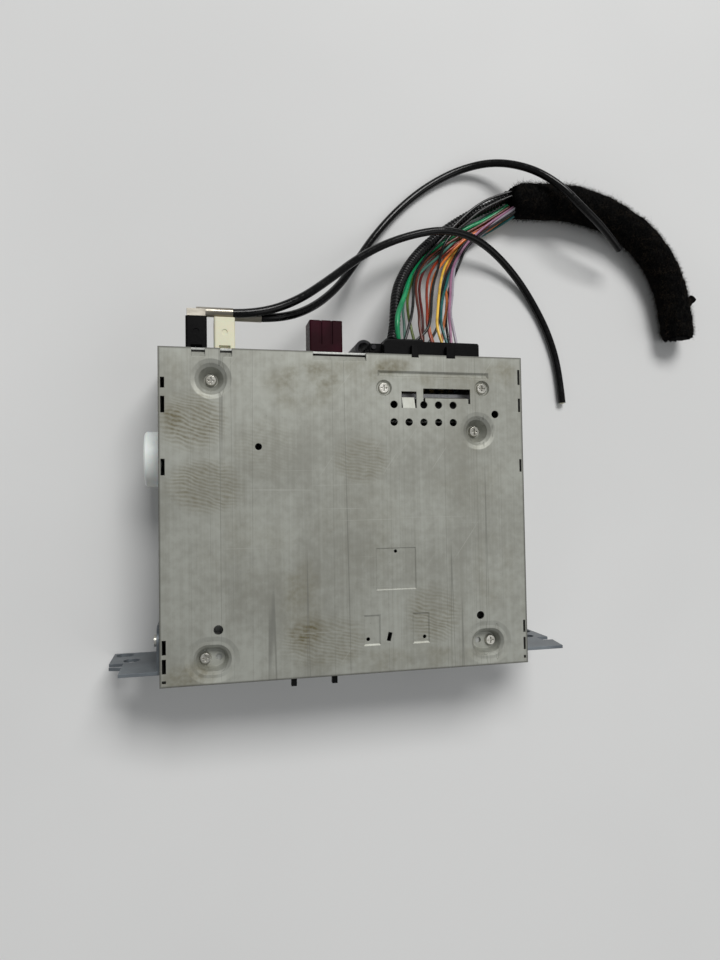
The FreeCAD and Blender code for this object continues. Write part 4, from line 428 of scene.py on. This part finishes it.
def lid_metal():
    """Passivated zinc, a warm grey-green: rolling streaks, mottling, specks, scratches, finger marks."""
    f = Finish("brushed_zinc_look", metallic=0.42, Specular_IOR_Level=0.4)
    streaks = f.grain(1.0, 3.0, f.stretched((760, 9, 760)))
    broad_streaks = f.grain(1.0, 2.0, f.stretched((120, 3, 120)))
    clouds = f.grain(24.0, 6.0)
    mottle = f.grain(260.0, 4.0)
    specks = f.grain(1300.0, 2.0)
    blend = f.math("ADD", f.math("MULTIPLY", streaks, 0.16), f.math("MULTIPLY", broad_streaks, 0.16))
    blend = f.math("ADD", blend, f.math("MULTIPLY", clouds, 0.42))
    blend = f.math("ADD", blend, f.math("MULTIPLY", mottle, 0.26))
    tone = f.mix(LID_DULL, LID_PALE, f.ramp(blend, 0.36, 0.64))
    tone = f.mix(tone, SPECK_TONE, f.ramp(specks, 0.66, 0.84, 0.0, 0.7))
    # Skin ridges: wavy bands about 1.7 mm apart, sloping down to the right.
    tilted = f.node("ShaderNodeVectorRotate", {"Vector": f.place, "Angle": RIDGE_SLOPE}).outputs[0]
    ridges = f.node("ShaderNodeTexWave", {"Vector": tilted, "Scale": 185.0, "Distortion": 13.0,
                                          "Detail": 2.0, "Detail Scale": 0.3, "Detail Roughness": 0.6},
                    bands_direction="Y").outputs["Fac"]
    ridges = f.ramp(ridges, 0.25, 0.75)
    patchy = f.ramp(f.grain(60.0, 6.0), 0.34, 0.6)
    fine = f.ramp(f.grain(420.0, 4.0), 0.3, 0.7, 0.55, 1.0)
    marks = None
    for (x, y), (reach_x, reach_y), strength, ridged in SMUDGES:
        spot = f.blob((x * MM, y * MM, LID_HEIGHT), (reach_x * MM, reach_y * MM, LID_HEIGHT), 0.55)
        spot = f.math("MULTIPLY", spot, strength)
        pattern = f.math("ADD", f.math("MULTIPLY", ridges, 0.55), 0.35) if ridged else patchy
        spot = f.math("MULTIPLY", spot, f.math("MULTIPLY", pattern, f.ramp(clouds, 0.3, 0.6, 0.45, 1.0)))
        marks = spot if marks is None else f.math("ADD", marks, spot, clamp=True)
    marks = f.math("MULTIPLY", marks, fine)
    tone = f.mix(tone, MARK_TONE, marks)
    # Roller lines: thin, straight and dark, running from back to front.
    rolls = f.grain(1.0, 1.0, f.stretched((150, 0.8, 150)))
    rolled = f.ramp(f.math("ABSOLUTE", f.math("SUBTRACT", rolls, 0.56)), 0.0065, 0.001)
    tone = f.mix(tone, ROLLER_TONE, f.math("MULTIPLY", rolled, 0.55))
    # Fine scratches: thin bands of stretched noise lying across each other.
    lines = f.grain(1.0, 1.0, f.stretched((14, 900, 14)), 0.4)
    turned = f.node("ShaderNodeVectorRotate", {"Vector": f.place, "Angle": SCRATCH_SLOPE}).outputs[0]
    slants = f.grain(1.0, 1.0, f.stretched((1000, 16, 16), turned), 0.4)
    scratches = f.math("MAXIMUM", f.ramp(lines, 0.735, 0.76), f.ramp(slants, 0.74, 0.765))
    tone = f.mix(tone, SCRATCH_TONE, f.math("MULTIPLY", scratches, 0.4))
    # Painted shade round the lid's rim, where the sheet bends down away from the light: a thin dark line.
    apart = f.node("ShaderNodeSeparateXYZ", {0: f.place}).outputs
    rim_shade_x = f.ramp(f.math("ABSOLUTE", apart[0]), RIM_SHADE_FAINT[0], RIM_SHADE_FULL[0])
    rim_shade_y = f.ramp(f.math("ABSOLUTE", apart[1]), RIM_SHADE_FAINT[1], RIM_SHADE_FULL[1])
    rim_shade = f.math("MAXIMUM", rim_shade_x, rim_shade_y)
    tone = f.mix(tone, RIM_SHADE_TONE, f.math("MULTIPLY", rim_shade, 0.85))
    f.colour(tone)
    dull = f.ramp(clouds, 0.3, 0.7, 0.43, 0.53)
    f.rough(f.math("ADD", dull, f.math("MULTIPLY", marks, 0.16)))
    height = f.math("ADD", f.math("MULTIPLY", streaks, 0.4), f.math("MULTIPLY", clouds, 1.2))
    f.bump(height, 0.00006, 0.4)
    return f


def fleece():
    f = Finish("fleece_tape_look", roughness=0.95, Specular_IOR_Level=0.03)
    fibres = f.grain(1.0, 4.0, f.stretched((900, 420, 900)), distortion=1.5)
    lumps = f.grain(160.0, 4.0)
    tone = f.mix((0.0015, 0.0015, 0.0017), (0.010, 0.010, 0.0095), f.ramp(fibres, 0.42, 0.75))
    f.colour(f.mix(tone, (0.019, 0.015, 0.012), f.ramp(lumps, 0.58, 0.8, 0.0, 0.5)))
    f.bump(f.math("ADD", fibres, lumps), 0.0006, 0.9)
    return f


def loose_fibres():
    """Single fibres: thin enough to pass light, so browner than the tape."""
    f = Finish("loose_fibres_look", roughness=0.8, Specular_IOR_Level=0.1)
    f.colour(f.mix((0.004, 0.0035, 0.003), (0.035, 0.026, 0.018), f.ramp(f.grain(220.0, 2.0), 0.4, 0.65)))
    return f


COLOURS = {
    # The dark green wire has a pale teal colour in place of its own dark green. This is a painted
    # highlight: the line of light along the top of the green wires towards the sleeve.
    "heavy_green_wire": (0.005, 0.27, 0.10), "dark_green_wire_painted_highlight": (0.06, 0.20, 0.15),
    "teal_wire": (0.012, 0.12, 0.12), "black_wire_a": (0.004, 0.004, 0.0045),
    "black_wire_b": (0.005, 0.0045, 0.0045), "black_wire_c": (0.0055, 0.005, 0.005),
    "black_wire_d": (0.0045, 0.0045, 0.005), "brown_wire": (0.11, 0.022, 0.012),
    "red_brown_wire": (0.10, 0.008, 0.008), "dark_red_wire": (0.30, 0.035, 0.012),
    "orange_wire_a": (0.75, 0.19, 0.03), "yellow_wire": (0.80, 0.50, 0.07),
    "orange_wire_b": (0.52, 0.15, 0.035), "olive_wire": (0.10, 0.15, 0.02),
    "violet_wire": (0.33, 0.15, 0.25), "grey_wire": (0.34, 0.31, 0.36),
}

finishes = {
    "brushed_zinc": lid_metal(),
    "zinc_steel": sheet_metal("zinc_steel_look", (0.5, 0.51, 0.49), (0.36, 0.37, 0.35)),
    "galvanised_steel": sheet_metal("galvanised_steel_look", (0.2, 0.225, 0.245), (0.11, 0.125, 0.14),
                                    (60, 60, 60), 0.6),
    "screw_steel": sheet_metal("screw_steel_look", (0.72, 0.71, 0.66), (0.42, 0.41, 0.36),
                               (500, 500, 500), 0.9, 0.3),
    "white_nylon": moulded("white_nylon_look", (0.84, 0.87, 0.85), (0.88, 0.9, 0.88), 0.42,
                           Subsurface_Weight=0.1),
    "black_plastic": moulded("black_plastic_look", (0.0025, 0.003, 0.003), roughness=0.4,
                             Specular_IOR_Level=0.08),
    "connector_black": moulded("connector_black_look", (0.0022, 0.0022, 0.0024), roughness=0.4,
                               Specular_IOR_Level=0.07),
    "lever_plastic": moulded("lever_plastic_look", (0.02, 0.02, 0.022), roughness=0.4),
    "felt": moulded("felt_look", (0.012, 0.012, 0.012), roughness=0.9, depth=0.0004),
    "circuit_board": moulded("circuit_board_look", (0.02, 0.12, 0.05), (0.03, 0.17, 0.07), 0.32,
                             Coat_Weight=0.3),
    "black_epoxy": moulded("black_epoxy_look", (0.014, 0.014, 0.015), roughness=0.55),
    "capacitor_sleeve": moulded("capacitor_sleeve_look", (0.012, 0.02, 0.09), roughness=0.3,
                                Coat_Weight=0.4),
    "aluminium": sheet_metal("aluminium_look", (0.72, 0.72, 0.73), (0.52, 0.52, 0.54), (700, 20, 20), 0.9,
                             0.38),
    "tinned_steel": sheet_metal("tinned_steel_look", (0.66, 0.66, 0.64), (0.46, 0.46, 0.44),
                                metallic=0.85),
    "contact_brass": sheet_metal("contact_brass_look", (0.8, 0.62, 0.3), (0.6, 0.44, 0.2), metallic=0.95,
                                 roughness=0.3),
    "ivory_plastic": moulded("ivory_plastic_look", (0.76, 0.71, 0.53), (0.83, 0.78, 0.61), 0.4,
                             Subsurface_Weight=0.12),
    "nickel_plate": sheet_metal("nickel_plate_look", (0.5, 0.47, 0.41), (0.27, 0.25, 0.21),
                                (90, 300, 300), 0.88, 0.36),
    "claret_plastic": moulded("claret_plastic_look", (0.017, 0.0012, 0.004), (0.03, 0.0025, 0.008), 0.4,
                              Specular_IOR_Level=0.07),
    "spring_steel": sheet_metal("spring_steel_look", (0.7, 0.7, 0.7), (0.5, 0.5, 0.5), (20, 500, 500),
                                0.95, 0.25),
    "damper_rubber": moulded("damper_rubber_look", (0.03, 0.03, 0.035), roughness=0.7),
    "flex_film": moulded("flex_film_look", (0.36, 0.16, 0.03), roughness=0.3, Coat_Weight=0.3),
    "deck_steel": sheet_metal("deck_steel_look", (0.6, 0.61, 0.6), (0.44, 0.45, 0.44), (7, 500, 500)),
    "motor_can": sheet_metal("motor_can_look", (0.66, 0.66, 0.65), (0.5, 0.5, 0.49), (200, 200, 12), 0.9,
                             0.35),
    "turntable_plastic": moulded("turntable_plastic_look", (0.02, 0.02, 0.023), roughness=0.4),
    "guide_plastic": moulded("guide_plastic_look", (0.06, 0.06, 0.066)),
    "gear_plastic": moulded("gear_plastic_look", (0.7, 0.69, 0.62), roughness=0.4),
    "roller_rubber": moulded("roller_rubber_look", (0.04, 0.04, 0.04), roughness=0.8),
    "sled_casting": sheet_metal("sled_casting_look", (0.4, 0.4, 0.41), (0.28, 0.28, 0.29),
                                (150, 150, 150), 0.8, 0.5),
    "coax_jacket": moulded("coax_jacket_look", (0.0015, 0.0015, 0.0017), (0.003, 0.003, 0.0032), 0.2,
                           500.0, 0.00002, Specular_IOR_Level=0.24),
    "fleece_tape": fleece(),
    "conduit_plastic": moulded("conduit_plastic_look", (0.004, 0.004, 0.0045), roughness=0.26,
                               Specular_IOR_Level=0.35),
    "wire_green": insulation("wire_green_look", COLOURS["heavy_green_wire"]),
    "wire_black": insulation("wire_black_look", COLOURS["black_wire_a"]),
    "wire_brown": insulation("wire_brown_look", COLOURS["brown_wire"]),
    "wire_orange": insulation("wire_orange_look", COLOURS["orange_wire_a"]),
    "wire_grey": insulation("wire_grey_look", COLOURS["grey_wire"]),
    "lens_glass": moulded("lens_glass_look", (0.1, 0.16, 0.3), (0.2, 0.12, 0.32), 0.06, Coat_Weight=1.0),
}
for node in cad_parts.values():
    for slot in node.material_slots:
        slot.material = finishes[slot.material.name.split(".")[0]].material


def dress(piece, finish, body="chassis"):
    piece.data.materials.append(finish.material)
    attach(piece, body)
    return piece


# ---------------------------------------------------------------- leads and wires
COAX_DIAMETER = 0.0042
LEAD_ROUNDNESS = 5
# Radius and reach of each ring of a lead's cut end, in millimetres: braid, white core, copper.
CUT_END = ((1.62, -0.3), (1.62, 0.06), (1.35, 0.1), (1.3, 0.3), (0.5, 0.36), (0.42, 0.62), (0.05, 0.66))
CUT_END_SIDES = 24


def round_lead(name, node, route, diameter, finish):
    curve = nurbs(name, route)
    curve.bevel_depth = diameter / 2
    curve.bevel_resolution = LEAD_ROUNDNESS
    curve.use_fill_caps = True
    piece = dress(link(name, curve), finish)
    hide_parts(node)


def cut_face(name, route):
    """The cut end of a coaxial lead: braid, white core and copper, standing just proud of the jacket."""
    path = centreline(route)
    heading = (path[-1] - path[-4]).normalized()
    across = heading.cross(Vector((0, 0, 1))).normalized()
    over = heading.cross(across)
    vertices = []
    for radius, along in CUT_END:
        for side in range(CUT_END_SIDES):
            angle = math.tau * side / CUT_END_SIDES
            outward = across * math.cos(angle) + over * math.sin(angle)
            vertices.append(path[-1] + (outward * radius + heading * along) * MM)
    piece = mesh_piece(name, vertices, rings_to_faces(len(CUT_END), CUT_END_SIDES))
    return dress(piece, finishes["ivory_plastic"])


for name, node, route, length in (("black_aerial_coax", "black_aerial_lead", BLACK_LEAD, 0.272),
                                  ("white_aerial_coax", "white_aerial_lead", WHITE_LEAD, 0.281)):
    core = cut_face(name + "_core", route)
    round_lead(name, node, route, COAX_DIAMETER, finishes["coax_jacket"])

for name, node, diameter, route in WIRES:
    slot = node.replace("wires_", "wire_")
    covering = insulation(name + "_look", COLOURS[name])
    round_lead(name, node, route, diameter, covering)

# ---------------------------------------------------------------- corrugated conduit
RIB_PITCH = 0.00215
RIB_RADIUS = 0.00260
RIB_DEPTH = 0.00034
RIB_STEEPNESS = 1.7
RIB_STEP = 0.00022
CONDUIT_SIDES = 28


def corrugated(run, angle):
    """Ribs of a corrugated conduit: flat crests and flat valleys with steep sides."""
    wave = math.sin(math.tau * run / RIB_PITCH)
    return RIB_RADIUS + RIB_DEPTH * max(-1.0, min(1.0, RIB_STEEPNESS * wave))


conduit_path = centreline(CONDUIT)
conduit = sweep("corrugated_tube", evenly(conduit_path, RIB_STEP), CONDUIT_SIDES, corrugated)
dress(conduit, finishes["conduit_plastic"])
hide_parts("corrugated_conduit")

# ---------------------------------------------------------------- fleece-taped sleeve
SLEEVE_STEP = 0.0006
SLEEVE_SIDES = 72
SLEEVE_RADIUS = 0.0094
SWELL = 0.0005
TAPER = 0.0006
TAPE_PITCH = 0.0105
TAPE_EDGE = 0.00032
BROAD_LUMPS, SMALL_LUMPS, NAP = 0.00055, 0.00022, 0.00014
# How far in from each end the sleeve narrows, and the share of its radius left at the very end.
MOUTH_REACH, MOUTH_SHARE = 0.004, 0.90
CUT_REACH, CUT_SHARE = 0.006, 0.80
RAGGED = 0.0022
RAGGED_REACH = 0.008
sleeve_path = centreline(SLEEVE)
sleeve_spots = evenly(sleeve_path, SLEEVE_STEP)
SLEEVE_LENGTH = sleeve_spots[-1][1]


def sleeve_radius(run, angle):
    """Overlapping turns of tape, lumpy over the wires inside, and narrower towards the cut end."""
    share = run / SLEEVE_LENGTH
    radius = SLEEVE_RADIUS + SWELL * math.sin(math.pi * min(1.0, share * 2.2)) - TAPER * share
    turn = (run / TAPE_PITCH + angle / math.tau) % 1.0
    radius += TAPE_EDGE * (1 - turn) ** 2
    spot = Vector((math.cos(angle) * 1.1, math.sin(angle) * 1.1, run * 95))
    radius += BROAD_LUMPS * noise.noise(spot) + SMALL_LUMPS * noise.noise(spot * 4.3 + Vector((3, 1, 7)))
    radius += NAP * noise.noise(spot * 13)
    opening = min(1.0, run / MOUTH_REACH)
    closing = min(1.0, (SLEEVE_LENGTH - run) / CUT_REACH)
    rounding = math.sqrt(1 - (1 - closing) ** 2)
    mouth = MOUTH_SHARE + (1 - MOUTH_SHARE) * opening
    return radius * mouth * (CUT_SHARE + (1 - CUT_SHARE) * rounding)


def ragged_end(run, angle):
    """The cut tape edges at both ends."""
    jag = RAGGED * noise.noise(Vector((math.cos(angle) * 2.4, math.sin(angle) * 2.4, run * 20 + 5)))
    jag += 0.5 * RAGGED * noise.noise(Vector((math.cos(angle) * 9, math.sin(angle) * 9, 2)))
    near = min(run, SLEEVE_LENGTH - run) / RAGGED_REACH
    return jag * max(0.0, 1 - near)


sleeve = sweep("fleece_wrap", sleeve_spots, SLEEVE_SIDES, sleeve_radius, ragged_end)
dress(sleeve, finishes["fleece_tape"])
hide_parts("fleece_sleeve")

# The loose fibres: how many, how long and thick, how deep rooted, and how low they may reach.
FIBRE_COUNT = 15000
FIBRE_SEED = 11
FIBRE_REACH = (0.001, 0.0032)
FIBRE_THICKNESS = 0.00006
FIBRE_ROOT = 0.0002
FIBRE_BEND = 0.45
LONG_ONES = 0.05
LONG_ONES_TIMES = 1.9
LOWEST_ROOT = 0.0012
FIBRE_FLOOR = 0.0002


def fuzz(name, spots):
    """Loose fibres of the fleece: thin three-sided spikes that lean every way over the tape."""
    draw = random.Random(FIBRE_SEED)
    frames = carried_frames(spots)
    vertices, faces = [], []
    for _ in range(FIBRE_COUNT):
        index = draw.randrange(2, len(spots) - 2)
        spot, run = spots[index]
        heading, across, over = frames[index]
        angle = draw.uniform(0, math.tau)
        outward = across * math.cos(angle) + over * math.sin(angle)
        around = heading.cross(outward)
        root = spot + outward * (sleeve_radius(run, angle) - FIBRE_ROOT) + heading * ragged_end(run, angle)
        if root.z < LOWEST_ROOT:
            continue
        long = draw.uniform(*FIBRE_REACH) * (LONG_ONES_TIMES if draw.random() < LONG_ONES else 1.0)
        lean = (outward * draw.uniform(0.25, 0.9) + heading * draw.uniform(-0.8, 0.8)
                + around * draw.uniform(-0.9, 0.9)).normalized()
        bend = (heading * draw.uniform(-1, 1) + around * draw.uniform(-1, 1)) * FIBRE_BEND
        side_a = lean.cross(heading).normalized()
        side_b = lean.cross(side_a)
        first = len(vertices)
        for share, width in ((0.0, 1.0), (0.55, 0.8)):
            middle = root + (lean * share + bend * share ** 2) * long
            for corner in range(3):
                turn = math.tau * corner / 3
                corner_way = side_a * math.cos(turn) + side_b * math.sin(turn)
                vertices.append(middle + corner_way * FIBRE_THICKNESS * width)
        vertices.append(root + (lean + bend) * long)
        for corner in vertices[first:]:
            corner.z = max(corner.z, FIBRE_FLOOR)
        for corner in range(3):
            following = (corner + 1) % 3
            faces.append((first + corner, first + following, first + 3 + following, first + 3 + corner))
            faces.append((first + 3 + corner, first + 3 + following, first + 6))
        faces.append((first + 2, first + 1, first))
    return mesh_piece(name, vertices, faces)


fibres = dress(fuzz("fleece_fibres", sleeve_spots), loose_fibres())

# The tuft's half sizes in millimetres, its place and its turn about Z.
TUFT_SIZE = (3.9, 2.7, 2.9)
TUFT_AT = (0.2215, 0.1245, 0.0095)
TUFT_TURN = 0.5


def tuft():
    """The loose end of the tape, stuck up in a small lump on the sleeve's outer side."""
    made = bmesh.new()
    bmesh.ops.create_icosphere(made, subdivisions=4, radius=1.0)
    for vertex in made.verts:
        spot = vertex.co.copy()
        swell = 1 + 0.35 * noise.noise(spot * 1.7 + Vector((4, 2, 9))) + 0.12 * noise.noise(spot * 5)
        vertex.co = spot * Vector(TUFT_SIZE) * swell * MM
    mesh = bpy.data.meshes.new("tape_end_tuft")
    made.to_mesh(mesh)
    made.free()
    mesh.polygons.foreach_set("use_smooth", [True] * len(mesh.polygons))
    mesh.transform(Matrix.Translation(TUFT_AT) @ Matrix.Rotation(TUFT_TURN, 4, "Z"))
    return dress(link("tape_end_tuft", mesh), finishes["fleece_tape"])


tuft()

# ---------------------------------------------------------------- studio
FLOOR_HALF = 6.0
FLOOR_LEVEL = -0.00005
FLOOR_SIGNS = ((-1, -1), (1, -1), (1, 1), (-1, 1))
WORLD_STRENGTH = 0.27
floor_finish = Finish("floor_look", Specular_IOR_Level=0.2)
floor_clouds = floor_finish.grain(2.2, 4.0)
floor_tone = floor_finish.mix((0.66, 0.665, 0.665), (0.71, 0.715, 0.715),
                              floor_finish.ramp(floor_clouds, 0.35, 0.65))
floor_finish.colour(floor_tone)
floor_finish.rough(floor_finish.ramp(floor_clouds, 0.3, 0.7, 0.6, 0.7))
floor_corners = [(x * FLOOR_HALF, y * FLOOR_HALF, FLOOR_LEVEL) for x, y in FLOOR_SIGNS]
floor = mesh_piece("floor", floor_corners, [(0, 1, 2, 3)])
floor.data.materials.append(floor_finish.material)


def area_light(name, at, aim, size, power, colour):
    light = bpy.data.lights.new(name, "AREA")
    light.shape = "RECTANGLE"
    light.size, light.size_y = size
    light.energy = power
    light.color = colour
    lamp = link(name, light)
    lamp.location = at
    lamp.rotation_euler = (Vector(aim) - Vector(at)).to_track_quat("-Z", "Y").to_euler()


area_light("key", at=(0.55, 2.1, 2.7), aim=(0.05, 0.0, 0.0), size=(1.7, 1.2), power=88.0,
           colour=(1.0, 0.99, 0.975))
area_light("fill", at=(1.6, -0.6, 2.0), aim=(0.0, 0.0, 0.0), size=(1.6, 1.6), power=7.0,
           colour=(1.0, 1.0, 1.0))
world = bpy.data.worlds.new("studio")
world.use_nodes = True
sky = world.node_tree.nodes["Background"]
sky.inputs["Color"].default_value = (0.99, 1.0, 1.0, 1)
sky.inputs["Strength"].default_value = WORLD_STRENGTH
scene.world = world
scene.view_settings.view_transform = "Standard"
